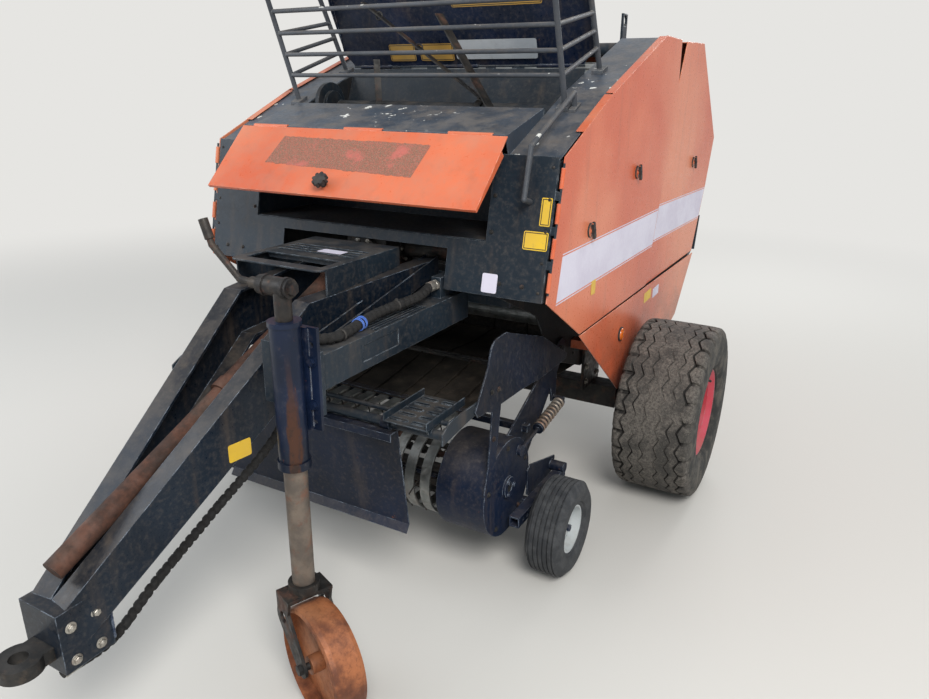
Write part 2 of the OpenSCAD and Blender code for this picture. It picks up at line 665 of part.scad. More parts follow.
lid_hinge = [-1095, 1765];
lid_len = 325;
lid_angle = 45;
module on_lid() {
    translate([0, lid_hinge[0], lid_hinge[1]]) rotate([-lid_angle, 0, 0]) children();
}
module twine_lid() {
    color(orange) at_axle() on_lid() {
        difference() {
            union() {
                translate([-lid_half, -sheet_t, -lid_len]) cube([2 * lid_half, sheet_t, lid_len - 6]);
                for (k = lid_knuckles) tube_x(k[0], k[0] + k[1], 0, 0, pin_r + 4);
                block([-lid_half, -1, -lid_len], [lid_half, 8, -lid_len + 3]);
                both_sides() side_plate([[-1, -lid_len], [8, -lid_len], [24, -70], [-1, -70]], lid_half - 3, 3);
            }
            tube_x(-lid_half - 1, lid_half + 1, 0, 0, pin_r + run_gap);
        }
    }
}
module lid_knob() {
    color(steel_dark) at_axle() on_lid() translate([-45, -sheet_t, -lid_len + 50]) rotate([90, 0, 0]) {
        cylinder(h = 20, r = 12);
        translate([0, 0, 20]) linear_extrude(20) {
            circle(r = 24);
            for (i = [0 : 7]) rotate(i * 45) translate([24, 0]) circle(r = 7, $fn = 16);
        }
    }
}

net_hinge = [-340, 2012];
net_half = wall_x + 40;
module net_cover() {
    line = [net_hinge + [0, 6], [-428, 2251], [-470, 2362], [-425, 2385]];
    color(navy) at_axle() difference() {
        union() {
            intersection() {
                union() {
                    folded_sheet(line, sheet_t, -net_half, net_half);
                    both_sides() side_plate([line[0] + [0, 50], line[1], line[2], line[2] + [-26, 4], line[1] + [-26, 0], line[0] + [-16, 50]],
                        net_half - 3, 3);
                }
                rotate([90, 0, 0]) linear_extrude(600) polygon([[-hinge_half, 2010], [hinge_half, 2010],
                    [hinge_half, 2024], [net_half, 2074], [net_half, 2400], [-net_half, 2400], [-net_half, 2074], [-hinge_half, 2024]]);
            }
            for (k = lid_knuckles) tube_x(k[0], k[0] + k[1], net_hinge[0], net_hinge[1], pin_r + 4);
        }
        tube_x(-hinge_half - 1, hinge_half + 1, net_hinge[0], net_hinge[1], pin_r + run_gap);
    }
}

door_outline = [
    front_low + [5, 0], front_top + [5, 0], step_top, roof_front, notch_front, notch_low, seam_low + [0, 8],
    guard_front + [0, 8]
];
// Turned-in top edges of a door between two points of its outline
module door_lip(a, b) {
    side_plate([a, b, b - [0, 3], a - [0, 3]], skin_x - 30, 30 + sheet_t);
}
door_latches = [[-760, 1405], [-197, 1575]];
tail_latch = [927, 1532];
// Twist latch: a round boss with a cross handle, from x outwards
module latch(x, at) {
    tube_x(x, x + 6, at[0], at[1], 26);
    tube_x(x, x + 14, at[0], at[1], 10);
    translate([x + 12, at[0], at[1]]) rotate([20, 0, 0]) block([0, -9, -34], [8, 9, 34]);
}
module side_door(s) {
    on_side(s) difference() {
        union() {
            side_plate(door_outline, skin_x, sheet_t);
            for (v = door_knuckles) on_face() translate([door_hinge_x, v[0], 0]) rotate([-90, 0, 0])
                cylinder(h = v[1], r = pin_r + 4);
            door_lip(lerp(front_top, step_top, 0.38), step_top - [8, 3]);
            door_lip(step_top + [8, 3], lerp(step_top, roof_front, 0.99));
            for (p = door_latches) latch(body_half_w, p);
        }
        on_face() translate([door_hinge_x, 0, 0]) rotate([-90, 0, 0]) cylinder(h = face_len, r = pin_r + run_gap);
    }
}
module door_left() { color(orange) at_axle() side_door(1); }
module door_right() { color(orange) at_axle() side_door(-1); }

tail_profile = [[pivot_y + 145, 2148], roof_rear, tail_far, tail_mid, tail_low];
tail_inner = [for (i = [0 : len(tail_profile) - 1]) tail_profile[i] + mitre(tail_profile, i) * -(sheet_t + seat_gap)];
module tailgate_frame() {
    outline = concat(tail_inner, [
        [1000, 760], [700, 570], [300, 560], [60 + seam_gap, 660],
        seam_low + [-60 + seam_gap, 0], notch_low + [-40 + seam_gap, -40],
        [pivot_y - pivot_r - 40 + seam_gap, 1990], [pivot_y + 60, 2086]
    ]);
    ear = [[405, 2040], [405, 2150], [500, 2155], [640, 2060], [600, 1980], [440, 1980]];
    color(steel_dark) at_axle() both_sides() {
        side_plate(outline, wall_x, wall_t);
        difference() {
            side_plate(ear, wall_x - ear_t, ear_t);
            tube_x(wall_x - ear_t - 1, wall_x + 1, pivot_y, pivot_z, pivot_r + run_gap);
        }
        tube_x(wall_x + wall_t, cyl_x - 20 - 1, cyl_eye[0], cyl_eye[1], 40);
    }
}
module tailgate_sheet() {
    color(orange) at_axle() folded_sheet(tail_profile, -sheet_t, -tail_skin_x, tail_skin_x);
}
module tailgate_panels() {
    outline = [notch_low + [seam_gap, 0], notch_rear, roof_rear, tail_far, tail_mid, tail_low,
        seam_low + [seam_gap, 0]];
    color(orange) at_axle() both_sides() {
        side_plate(outline, tail_skin_x, sheet_t);
        latch(tail_skin_x + sheet_t, tail_latch);
    }
}
rear_roller_angles = [-115, -90, -64, -38, -12, 14, 40, 66];
module tailgate_rollers() {
    color(galv) at_axle() for (a = rear_roller_angles) roller(a);
}
module tail_brackets() {
    color(hood_grey) at_axle() both_sides() {
        side_plate([[1145.5, 1005], [1250.5, 1208.6], [1330, 1180], [1270, 960], [1190, 930]], tail_skin_x - 32, 8);
        side_plate([[1262, 970], [1318, 1176], [1324, 1176], [1268, 970]], tail_skin_x - 102, 96);
        for (z = [1030, 1120]) translate([tail_skin_x - 57, 1280 + (z - 1030) * 0.27, z]) rotate([-90, 0, 0]) cylinder(h = 34, r = 38);
    }
}

cyl_base = [-60, 1250];
cyl_eye = [600, 1860];
cyl_x = wall_x + wall_t + 90;
cyl_pin_r = 15;
cyl_angle = atan2(cyl_eye[1] - cyl_base[1], cyl_eye[0] - cyl_base[0]);
cyl_len = norm(cyl_eye - cyl_base);
cyl_barrel_len = 560;
module on_cylinder(s) {
    on_side(s) translate([cyl_x, cyl_base[0], cyl_base[1]]) rotate([cyl_angle, 0, 0]) children();
}
module barrel(s) {
    color(steel_dark) at_axle() on_cylinder(s) difference() {
        union() {
            translate([0, 40, 0]) rotate([-90, 0, 0]) cylinder(h = cyl_barrel_len, r = 35);
            translate([-25, 0, 0]) rotate([0, 90, 0]) cylinder(h = 50, r = 32);
            block([-20, 0, -20], [20, 60, 20]);
        }
        translate([-26, 0, 0]) rotate([0, 90, 0]) cylinder(h = 52, r = cyl_pin_r + run_gap);
        translate([0, 60, 0]) rotate([-90, 0, 0]) cylinder(h = cyl_barrel_len, r = 18 + run_gap);
    }
}
module rod(s) {
    color(galv) at_axle() on_cylinder(s) {
        translate([0, 120, 0]) rotate([-90, 0, 0]) cylinder(h = cyl_len - 120 - 20, r = 18);
        translate([-20, cyl_len, 0]) rotate([0, 90, 0]) cylinder(h = 40, r = 30);
    }
}
module cylinder_left() { barrel(1); }
module cylinder_right() { barrel(-1); }
module rod_left() { rod(1); }
module rod_right() { rod(-1); }

lift_pivot = [-500, 800];
lift_pin_r = 20;
// Outline points of the pickup's side plates from the reel's centre, as [back, up]
wing = concat([[-283, 437], [-190, 577]], arc([-118, 612], 58, 150, 96, 3), arc([-60, 612], 62, 80, 60, 2), [[300, 557], [590, 395], [575, 372], [284, 372],
    [127, 388], [-78, 395], [-112, 160], [-120, 20], [-180, 20], [-205, 60], [-172, 165], [-150, 385], [-190, 405], [-265, 412]]);
spring_front = [-990, 517];
spring_rear = [-560, 590];
module reel_at() { translate([0, -reel_reach, reel_z]) children(); }
module pickup_frame() {
    beam_y = -reel_reach + band_tail;
    reel = [-reel_reach, reel_z];
    color(navy) at_axle() {
        both_sides() {
            difference() {
                union() {
                    side_plate([for (p = wing) p + reel], pickup_half_w - plate_t, plate_t);
                    tube_x(pickup_half_w - plate_t, pickup_half_w, -reel_reach, reel_z, drum_r);
                    tube_x(pickup_half_w - plate_t, pickup_half_w + 12, -reel_reach, reel_z, 45);
                    for (i = [0 : 2]) reel_at() rotate([i * 120 + 30, 0, 0]) hex_x(pickup_half_w + 12, 0, 33, 16, 8);
                    side_plate([reel + [-40, 150], lift_pivot + [-20, 48], lift_pivot + [30, -36], reel + [185, -40]], lift_arm_x, lift_arm_t);
                    tube_x(lift_arm_x, lift_arm_x + lift_arm_t, lift_pivot[0], lift_pivot[1], 52);
                    side_plate([spring_rear + [-50, 110], spring_rear + [24, 150], spring_rear + [24, -16], spring_rear + [-20, -16]], lift_arm_x, lift_arm_t);
                    tube_x(lift_arm_x, pickup_half_w, lift_pivot[0] - 68, lift_pivot[1] - 16, 12);
                }
                tube_x(pickup_half_w - plate_t - 1, pickup_half_w + 13, -reel_reach, reel_z, 20 + run_gap);
                tube_x(lift_arm_x - 1, lift_arm_x + lift_arm_t + 1, lift_pivot[0], lift_pivot[1], lift_pin_r + run_gap);
            }
            difference() {
                tube_x(tined_half_w + 8, pickup_half_w - plate_t, -reel_reach, reel_z, drum_r);
                tube_x(tined_half_w + 14, pickup_half_w - plate_t + 1, -reel_reach, reel_z, drum_r - 5);
                tube_x(tined_half_w + 7, tined_half_w + 15, -reel_reach, reel_z, 25);
            }
            tube_x(pickup_half_w - 1, pickup_half_w + 16, spring_front[0], spring_front[1], 22);
            tube_x(lift_arm_x, pickup_half_w + 20, spring_rear[0], spring_rear[1], 11);
            lift_spring(pickup_half_w + 9);
        }
        for (z = [reel_z + band_r - 20, reel_z - band_r - 10]) difference() {
            block([-pickup_half_w + plate_t, beam_y, z], [pickup_half_w - plate_t, beam_y + 30, z + 30]);
            block([-pickup_half_w + plate_t - 1, beam_y + 4, z + 4], [-tined_half_w, beam_y + 26, z + 26]);
        }
    }
}
// Coil spring on a rod that holds the pickup's weight
spring_turns = 9;
module lift_spring(x) {
    a = [x, spring_front[0], spring_front[1]];
    b = [x, spring_rear[0], spring_rear[1]];
    bar(a, b, 8);
    bar(lerp(a, b, 0.4), lerp(a, b, 0.94), 17);
    for (k = [0 : spring_turns - 1]) translate(lerp(a, b, 0.43 + 0.48 * k / (spring_turns - 1)))
        rotate([-90 + atan2(b[2] - a[2], b[1] - a[1]), 0, 0]) rotate_extrude($fn = 24) translate([20, 0]) circle(r = 6, $fn = 16);
    bar(lerp(a, b, 0.39), lerp(a, b, 0.43), 24);
    bar(lerp(a, b, 0.91), lerp(a, b, 0.95), 24);
}
band_tail = 190;
band_count = floor(2 * tined_half_w / band_pitch);
band_start = -(band_count - 1) / 2 * band_pitch;
// One stripper band: a U that wraps the reel from above the rear round the front to below the rear
module band_profile(t) {
    difference() {
        union() {
            circle(r = band_r);
            translate([0, -band_r]) square([band_tail, 2 * band_r]);
        }
        circle(r = band_r - t);
        translate([0, -band_r + t]) square([band_tail + 1, 2 * band_r - 2 * t]);
    }
}
module stripper_bands() {
    color(galv) at_axle() for (i = [0 : band_count - 1])
        translate([band_start + i * band_pitch - band_w / 2, -reel_reach, reel_z]) rotate([90, 0, 90]) {
            linear_extrude(band_w) band_profile(3);
            for (x = [0, band_w - 2]) translate([0, 0, x]) linear_extrude(2) band_profile(9);
        }
}
guard_pivot = [-1560, 815];
guard_tube_r = 18;
tray_x = [430, 605];
tray_z = 852;
module step() {
    color(hood_grey) at_axle() {
        tube_x(-pickup_half_w + 12, pickup_half_w - 12, guard_pivot[0], guard_pivot[1], guard_tube_r);
        tube_x(-pickup_half_w + 12, pickup_half_w - 12, -1518, 842, 9);
        difference() {
            union() {
                block([tray_x[0], -1620, tray_z - 4], [tray_x[1], -1360, tray_z]);
                for (x = [tray_x[0], tray_x[1] - 4]) block([x, -1620, tray_z - 4], [x + 4, -1360, tray_z + 26]);
                for (i = [0 : 4], x = [475, 560]) translate([x, -1588 + i * 49, tray_z - 1]) slot_cut(72, 22, 5);
            }
            for (i = [0 : 4], x = [475, 560]) translate([x, -1588 + i * 49, tray_z - 5]) slot_cut(62, 12, 10);
        }
        for (x = [tray_x[0] + 12, tray_x[1] - 20]) side_plate([[-1585, 820], [-1500, 838], [-1440, tray_z - 3], [-1600, tray_z - 3]], x, 8);
        both_sides() side_plate([[-1590, 792], [-1590, 835], [-1540, 862], [-1490, 866], [-1300, 862], [-1240, 840], [-1240, 810], [-1300, 826], [-1540, 800]],
            pickup_half_w - 2 * plate_t, plate_t);
    }
}
arm_x = gauge_x - gauge_w / 2 - 60;
gauge_y = -961;
module gauge_arms() {
    color(navy) at_axle() both_sides() {
        difference() {
            union() {
                block([arm_x - 22, -1110, 230], [arm_x + 22, -610, 275]);
                tube_x(pickup_half_w, arm_x + 30, -640, 290, 25);
                block([arm_x + 22, gauge_y - 25, gauge_r - 20], [arm_x + 34, gauge_y + 25, 270]);
            }
            block([arm_x - 17, -1111, 235], [arm_x + 17, -690, 270]);
            for (y = [-1070, -1030]) tube_x(arm_x - 23, arm_x + 23, y, 252, 8);
        }
        side_plate([[-900, 262], [-860, 235], [-600, 255], [-600, 320], [-880, 400], [-905, 380]], pickup_half_w, plate_t);
        tube_x(arm_x + 30, gauge_x + 42, gauge_y, gauge_r, 12);
        hex_x(gauge_x + 40, gauge_y, gauge_r, 28, 10);
    }
}
guard_half = 448;
guard_line = [[-1562, 791.5], [-1500, 380], [-1520, 350]];
module windguard() {
    color(navy) at_axle() difference() {
        union() {
            folded_sheet(guard_line, 4, -guard_half, guard_half);
            for (x = [-430, -20, 390]) {
                tube_x(x, x + 36, guard_pivot[0], guard_pivot[1], 26);
                block([x, guard_pivot[0] - 5, 770], [x + 36, guard_pivot[0] + 4, 800]);
            }
            difference() {
                folded_sheet([[-1600, 764], [-1600, 789], [-1560, 789]], 4, -guard_half, guard_half);
                for (i = [-7 : 7]) translate([i * 58, -1580, 780]) slot_cut(36, 9, 12);
            }
        }
        tube_x(-guard_half - 1, guard_half + 1, guard_pivot[0], guard_pivot[1], guard_tube_r + run_gap);
    }
}
reel_bar_r = 110;
// One tine: a sprung coil round its bar and a bent wire that sweeps back at the tip
tine_knee = [16, 178];
module tine(x) {
    for (k = [0, 1]) translate([x - 10 + k * 11, 0, reel_bar_r]) rotate([0, 90, 0]) cylinder(h = 8, r = 19, $fn = 20);
    bar([x + 4, 12, reel_bar_r], [x, tine_knee[0], tine_knee[1]], tine_wire_r, $fn = 8);
    bar([x, tine_knee[0], tine_knee[1]], [x, -10, tine_r - 4], tine_wire_r, $fn = 8);
}
module tine_reel() {
    bar_half = tined_half_w - 4;
    color(steel_dark) at_axle() reel_at() {
        tube_x(-pickup_half_w - 10, pickup_half_w + 10, 0, 0, 20);
        for (b = [0 : tine_bars - 1]) rotate([b * 360 / tine_bars, 0, 0]) {
            tube_x(-bar_half, bar_half, 0, reel_bar_r, 14);
            for (i = [0 : band_count - 2]) tine(band_start + (i + 0.5) * band_pitch);
        }
        for (x = [-bar_half + 10, 0, bar_half - 10]) translate([x - 4, 0, 0]) rotate([90, 0, 90]) linear_extrude(8) difference() {
            circle(r = reel_bar_r + 20);
            for (b = [0 : tine_bars - 1]) rotate((b + 0.5) * 360 / tine_bars) translate([72, 0]) circle(r = 24);
        }
    }
}

module gauge_tyre(s) {
    color(rubber) at_axle() on_side(s) translate([gauge_x, gauge_y, gauge_r]) rotate([0, 90, 0])
        rotate_extrude($fn = 28) polygon([[102, -60], [160, -gauge_w / 2], [gauge_r, -50], [gauge_r, 50],
            [160, gauge_w / 2], [102, 60]]);
}
module gauge_rim(s) {
    color(galv) at_axle() on_side(s) translate([gauge_x, gauge_y, gauge_r]) rotate([0, 90, 0])
        rotate_extrude() polygon([[12 + run_gap, -30], [40, -30], [40, 0], [94, 10], [94, -60], [101.7, -60],
            [101.7, 60], [94, 60], [94, 16], [36, 6], [36, 36], [12 + run_gap, 36]]);
}
module gauge_tyre_left() { gauge_tyre(1); }
module gauge_tyre_right() { gauge_tyre(-1); }
module gauge_rim_left() { gauge_rim(1); }
module gauge_rim_right() { gauge_rim(-1); }

// Tread lug in plan: across the tyre and along its running direction
lug_half = 30;
module lug_plan() {
    reach = tyre_w / 2 - 18;
    polygon([[6, -lug_half], [reach, -lug_half + 22], [reach, lug_half], [6, 8]]);
}
module tyre(s) {
    base_r = tyre_r - lug_h;
    half_w = tyre_w / 2;
    top_r = sqrt(tyre_r * tyre_r - lug_half * lug_half);
    color(rubber) at_axle() on_side(s) translate([half_track, 0, axle_z]) {
        rotate([0, 90, 0]) rotate_extrude(convexity = 4, $fn = 32) polygon([
            [rim_r + 1, -half_w + 28], [rim_r + 60, -half_w], [base_r - 60, -half_w], [base_r, -half_w + 32],
            [base_r, half_w - 32], [base_r - 60, half_w], [rim_r + 60, half_w], [rim_r + 1, half_w - 28]
        ]);
        for (side = [0, 1], i = [0 : lug_count - 1])
            mirror([side, 0, 0]) rotate([(i + side / 2) * 360 / lug_count, 0, 0])
                translate([0, 0, -top_r]) linear_extrude(lug_h + 12) lug_plan();
    }
}
module rim(s) {
    color("#b5443f") at_axle() on_side(s) translate([half_track, 0, axle_z]) rotate([0, 90, 0]) {
        difference() {
            rotate_extrude() polygon([
                [spindle_r + run_gap, -75], [62, -75], [62, -10], [110, -10], [190, 14], [190, -130], [rim_r, -tyre_w / 2 + 30],
                [rim_r, tyre_w / 2 - 30], [190, 130], [190, 26], [110, 2], [62, 2], [62, 52], [56, 66], [spindle_r + run_gap, 66]
            ]);
            for (i = [0 : 7]) rotate(i * 45 + 22.5) translate([150, 0, -20]) cylinder(h = 60, r = 16);
        }
        for (i = [0 : 7]) rotate(i * 45) translate([86, 0, 1]) cylinder(h = 15, r = 13, $fn = 6);
    }
}
module tyre_left() { tyre(1); }
module tyre_right() { tyre(-1); }
module rim_left() { rim(1); }
module rim_right() { rim(-1); }

jack_leg_low = 430;
module jack_leg() {
    color(steel_dark) at_axle() translate([jack_x, -jack_reach, jack_leg_low])
        cylinder(h = 500, r = jack_leg_r);
}
castor_trail = 105;
castor_rest = -112.6;
castor_plate_x = 68;
module at_castor() { at_axle() translate([jack_x, -jack_reach, 0]) rotate([0, 0, castor_rest]) children(); }
module jack_fork() {
    shoulder = jack_leg_low - 30;
    cheek = belt([[-5, shoulder - 80, 44], [castor_trail, jack_wheel_r, 30]], 8);
    color(steel_dark) at_castor() {
        translate([0, 0, shoulder]) cylinder(h = 30 - seat_gap, r = 50);
        block([-castor_plate_x - 10, -44, shoulder - 12], [castor_plate_x + 10, 44, shoulder]);
        both_sides() {
            difference() {
                side_plate(cheek, castor_plate_x, 10);
                tube_x(castor_plate_x - 1, castor_plate_x + 11, -5, shoulder - 80, 20);
            }
            side_plate([[-44, shoulder], [44, shoulder], [30, shoulder - 60], [-44, shoulder - 60]], castor_plate_x, 10);
            hex_x(castor_plate_x + 10, castor_trail, jack_wheel_r, 30, 12);
        }
        tube_x(-castor_plate_x - 10, castor_plate_x + 10, castor_trail, jack_wheel_r, 12);
    }
}
module jack_wheel() {
    half_w = jack_wheel_w / 2;
    tread = jack_wheel_r - 18;
    color(rust) at_castor() translate([0, castor_trail, jack_wheel_r]) rotate([0, 90, 0])
        rotate_extrude($fn = 30) polygon([[12 + run_gap, -50], [30, -50], [30, -8], [tread, -8], [tread, -half_w],
            [jack_wheel_r - 5, -half_w + 4], [jack_wheel_r, -half_w + 18], [jack_wheel_r, half_w - 18],
            [jack_wheel_r - 5, half_w - 4], [tread, half_w], [tread, 8], [30, 8], [30, 50], [12 + run_gap, 50]]);
}

side_frames();
cross_beam();
axle();
drawbar();
hitch_eye();
jack_beam();
gearbox();
pto_shaft();
driveline_guard();
front_hood();
twine_box();
roof();
net_trough();
net_arms();
rack();
top_tube();
grab_rail();
lower_guards();
front_rollers();
side_drive();
jack_tube();
jack_crank();
hoses();
twine_lid();
lid_knob();
net_cover();
door_left();
door_right();
tailgate_frame();
tailgate_sheet();
tailgate_panels();
tailgate_rollers();
tail_brackets();
cylinder_left();
cylinder_right();
rod_left();
rod_right();
pickup_frame();
stripper_bands();
step();
gauge_arms();
windguard();
tine_reel();
gauge_tyre_left();
gauge_tyre_right();
gauge_rim_left();
gauge_rim_right();
tyre_left();
tyre_right();
rim_left();
rim_right();
jack_leg();
jack_fork();
jack_wheel();
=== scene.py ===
"""Round baler: materials, trim, dirt, floor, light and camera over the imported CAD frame.

Metres, +Z up, the hitch towards -Y, +X the machine's left side. Places are written with y = 0 at the
wheel axle, like the part's source, and moved by AXLE_Y.
"""
import math
import random

import bmesh
import bpy
from mathutils.bvhtree import BVHTree
from mathutils import noise, Matrix, Vector


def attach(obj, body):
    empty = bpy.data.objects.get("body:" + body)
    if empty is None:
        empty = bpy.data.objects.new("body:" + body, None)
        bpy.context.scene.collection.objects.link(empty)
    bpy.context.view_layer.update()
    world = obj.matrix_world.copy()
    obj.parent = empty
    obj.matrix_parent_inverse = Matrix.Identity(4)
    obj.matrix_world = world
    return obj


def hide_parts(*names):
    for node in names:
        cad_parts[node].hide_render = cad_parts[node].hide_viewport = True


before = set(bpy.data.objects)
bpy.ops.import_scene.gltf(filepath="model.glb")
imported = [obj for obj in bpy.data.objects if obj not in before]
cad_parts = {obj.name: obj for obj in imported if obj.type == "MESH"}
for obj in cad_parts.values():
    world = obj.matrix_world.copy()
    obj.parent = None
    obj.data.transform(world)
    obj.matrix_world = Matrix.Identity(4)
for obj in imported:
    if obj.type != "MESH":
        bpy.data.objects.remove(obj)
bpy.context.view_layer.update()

AXLE_Y = 0.6595


def put(name, data):
    """A new object with this data, linked to the scene."""
    made = bpy.data.objects.new(name, data)
    bpy.context.scene.collection.objects.link(made)
    return made


# Camera and light

CAMERA_AT = Vector((1.787, -3.491, 1.921))
CAMERA_YAW = 0.508
CAMERA_PITCH = 0.34
CAMERA_ROLL = 0.009
CAMERA_FOCAL_PX = 740.4
IMAGE_WIDTH_PX = 929


def make_camera():
    data = bpy.data.cameras.new("camera")
    data.sensor_width = 36.0
    data.lens = CAMERA_FOCAL_PX * data.sensor_width / IMAGE_WIDTH_PX
    data.clip_start = 0.05
    data.clip_end = 200.0
    camera = put("camera", data)
    forward = Vector((-math.sin(CAMERA_YAW) * math.cos(CAMERA_PITCH),
                      math.cos(CAMERA_YAW) * math.cos(CAMERA_PITCH), -math.sin(CAMERA_PITCH)))
    level = Vector((math.cos(CAMERA_YAW), math.sin(CAMERA_YAW), 0))
    upright = level.cross(forward)
    right = level * math.cos(CAMERA_ROLL) + upright * math.sin(CAMERA_ROLL)
    up = right.cross(forward)
    turn = Matrix((right, up, -forward)).transposed().to_4x4()
    camera.matrix_world = Matrix.Translation(CAMERA_AT + Vector((0, AXLE_Y, 0))) @ turn
    bpy.context.scene.camera = camera


def make_light(name, at, target, size, watts, colour=(1, 1, 1)):
    data = bpy.data.lights.new(name, "AREA")
    data.shape = "DISK"
    data.size = size
    data.energy = watts
    data.color = colour
    light = put(name, data)
    light.location = at
    light.rotation_mode = "QUATERNION"
    light.rotation_quaternion = (Vector(target) - Vector(at)).to_track_quat("-Z", "Y")


# Material helper

def add_node(tree, kind, sockets=None, **settings):
    """A new node; an input is given a value, or linked when it is given another node's socket."""
    node = tree.nodes.new("ShaderNode" + kind)
    for key, value in settings.items():
        setattr(node, key, value)
    for key, value in (sockets or {}).items():
        if isinstance(value, bpy.types.NodeSocket):
            tree.links.new(value, node.inputs[key])
        else:
            node.inputs[key].default_value = value
    return node


class Shader:
    """A small helper that builds a material's node tree from calls."""

    def __init__(self, name):
        self.material = bpy.data.materials.new(name)
        self.material.use_nodes = True
        self.material.node_tree.nodes.clear()
        coords = self.add("TexCoord")
        self.place = coords.outputs["Object"]
        self.normal = coords.outputs["Normal"]

    def add(self, kind, sockets=None, **settings):
        return add_node(self.material.node_tree, kind, sockets, **settings)

    def noise(self, scale, detail=4.0, rough=0.55, place=None):
        return self.add("TexNoise", {"Vector": place or self.place, "Scale": scale, "Detail": detail,
                                     "Roughness": rough}).outputs["Fac"]

    def stretch(self, x, y, z):
        return self.add("Mapping", {"Vector": self.place, "Scale": (x, y, z)}).outputs["Vector"]

    def ramp(self, value, low, high, to_low=0.0, to_high=1.0):
        node = self.add("MapRange", {"Value": value, "From Min": low, "From Max": high,
                                     "To Min": to_low, "To Max": to_high}, interpolation_type="SMOOTHSTEP")
        return node.outputs["Result"]

    def math(self, operation, a, b=0.0):
        return self.add("Math", {0: a, 1: b}, operation=operation).outputs["Value"]

    def times(self, a, b):
        return self.math("MULTIPLY", a, b)

    def plus(self, a, b):
        return self.math("ADD", a, b)

    def minus(self, a, b):
        return self.math("SUBTRACT", a, b)

    def mix(self, factor, a, b):
        return self.add("Mix", {0: factor, 6: rgba(a), 7: rgba(b)}, data_type="RGBA").outputs[2]

    def blotch(self, tone, colour, grain, low, high, most=1.0):
        """Lays a colour over a tone where a noise (scale, detail, roughness, place) is high."""
        return self.mix(self.ramp(self.noise(*grain), low, high, 0.0, most), tone, colour)

    def axis(self, socket, name):
        return self.add("SeparateXYZ", {"Vector": socket}).outputs[name]

    def finish(self, tone, roughness, metallic, height, bump, distance, smooth=None, **extra):
        relief = {"Height": height, "Strength": bump, "Distance": distance}
        if smooth is not None:
            relief["Normal"] = smooth
        surface = self.add("BsdfPrincipled", {"Base Color": tone, "Roughness": roughness, "Metallic": metallic,
                                              "Normal": self.add("Bump", relief).outputs["Normal"], **extra})
        self.add("OutputMaterial", {"Surface": surface.outputs["BSDF"]})
        return self.material


def linear(channel):
    return channel / 12.92 if channel <= 0.04045 else ((channel + 0.055) / 1.055) ** 2.4


def rgba(colour):
    """A colour as Blender wants it, from a hex code; a node's socket stays as it is."""
    if isinstance(colour, bpy.types.NodeSocket):
        return colour
    return tuple(linear(int(colour[i:i + 2], 16) / 255) for i in (1, 3, 5)) + (1.0,)


# Materials

DUST = "#8f8375"
EARTH = "#5d5044"
RUST_DARK = "#4a2a1c"
RUST = "#74432b"


def painted(name, colour, faded, dust=0.45, chips=0.5, gloss=0.42, streaks=0.3, rust=RUST_DARK, specks=0.15,
            wear="#8d8f90", droppings=0.0, sun=None, low_darkening=0.0, shine=0.25):
    """Farm paint: faded patches, dust on faces that look up, dirt streaks, worn edges, chips down to rust."""
    s = Shader(name)
    soft = s.add("Bevel", {"Radius": 0.004}, samples=4).outputs["Normal"]
    plain = s.add("NewGeometry").outputs["Normal"]
    edge = s.ramp(s.add("VectorMath", {0: soft, 1: plain}, operation="DOT_PRODUCT").outputs["Value"],
                  0.9, 0.995, 1.0, 0.0)
    tone = s.blotch(colour, faded, (2.1, 5.0), 0.35, 0.68)
    if sun:
        tone = s.blotch(tone, sun, (0.9, 3.0), 0.42, 0.66, 0.75)
    grain = s.noise(60.0, 6.0, 0.7)
    tone = s.mix(s.ramp(grain, 0.45, 0.75, 0.0, 0.12), tone, DUST)
    tone = s.blotch(tone, EARTH, (3.0, 5.0, 0.6, s.stretch(5.0, 5.0, 0.5)), 0.52, 0.74, streaks)
    facing_up = s.ramp(s.axis(s.normal, "Z"), 0.15, 0.9)
    settled = s.times(facing_up, s.ramp(s.noise(9.0, 6.0, 0.65), 0.36, 0.66, 0.03, dust))
    tone = s.mix(settled, tone, DUST)
    chip = s.noise(34.0, 8.0, 0.72)
    chipped = s.times(s.ramp(chip, 0.655, 0.675, 0.0, chips), s.ramp(s.noise(2.3, 3.0), 0.5, 0.6))
    tone = s.mix(chipped, tone, rust)
    worn = s.times(edge, s.ramp(s.noise(26.0, 6.0, 0.7), 0.44, 0.6, 0.1, 0.85))
    tone = s.mix(worn, tone, wear)
    tone = s.blotch(tone, EARTH, (190.0, 3.0, 0.6), 0.68, 0.74, specks)
    # Darker, browner blotches towards the bottom of the sheets, near the tyres.
    if low_darkening:
        low = s.ramp(s.axis(s.place, "Z"), 0.55, 1.15, 1.0, 0.0)
        tone = s.mix(s.times(low, s.ramp(s.noise(7.0, 8.0, 0.7), 0.34, 0.62, 0.15, low_darkening)), tone, "#6b4436")
    if droppings:
        drop = s.ramp(s.noise(24.0, 3.0, 0.5), 0.655, 0.67)
        patch = s.ramp(s.noise(2.6, 2.0), 0.46, 0.6)
        tone = s.mix(s.times(s.times(drop, patch), s.times(facing_up, droppings)),
                     tone, "#dcdcd6")
    rough = s.plus(s.ramp(grain, 0.3, 0.7, gloss - 0.08, gloss + 0.12),
                   s.times(settled, 0.35))
    height = s.plus(s.plus(s.noise(140.0, 4.0), s.times(s.noise(3.2, 2.0), 6.0)),
                    s.times(chipped, -1.5))
    return s.finish(tone, rough, 0.0, height, 0.12, 0.0015, smooth=soft, **{"Specular IOR Level": shine})


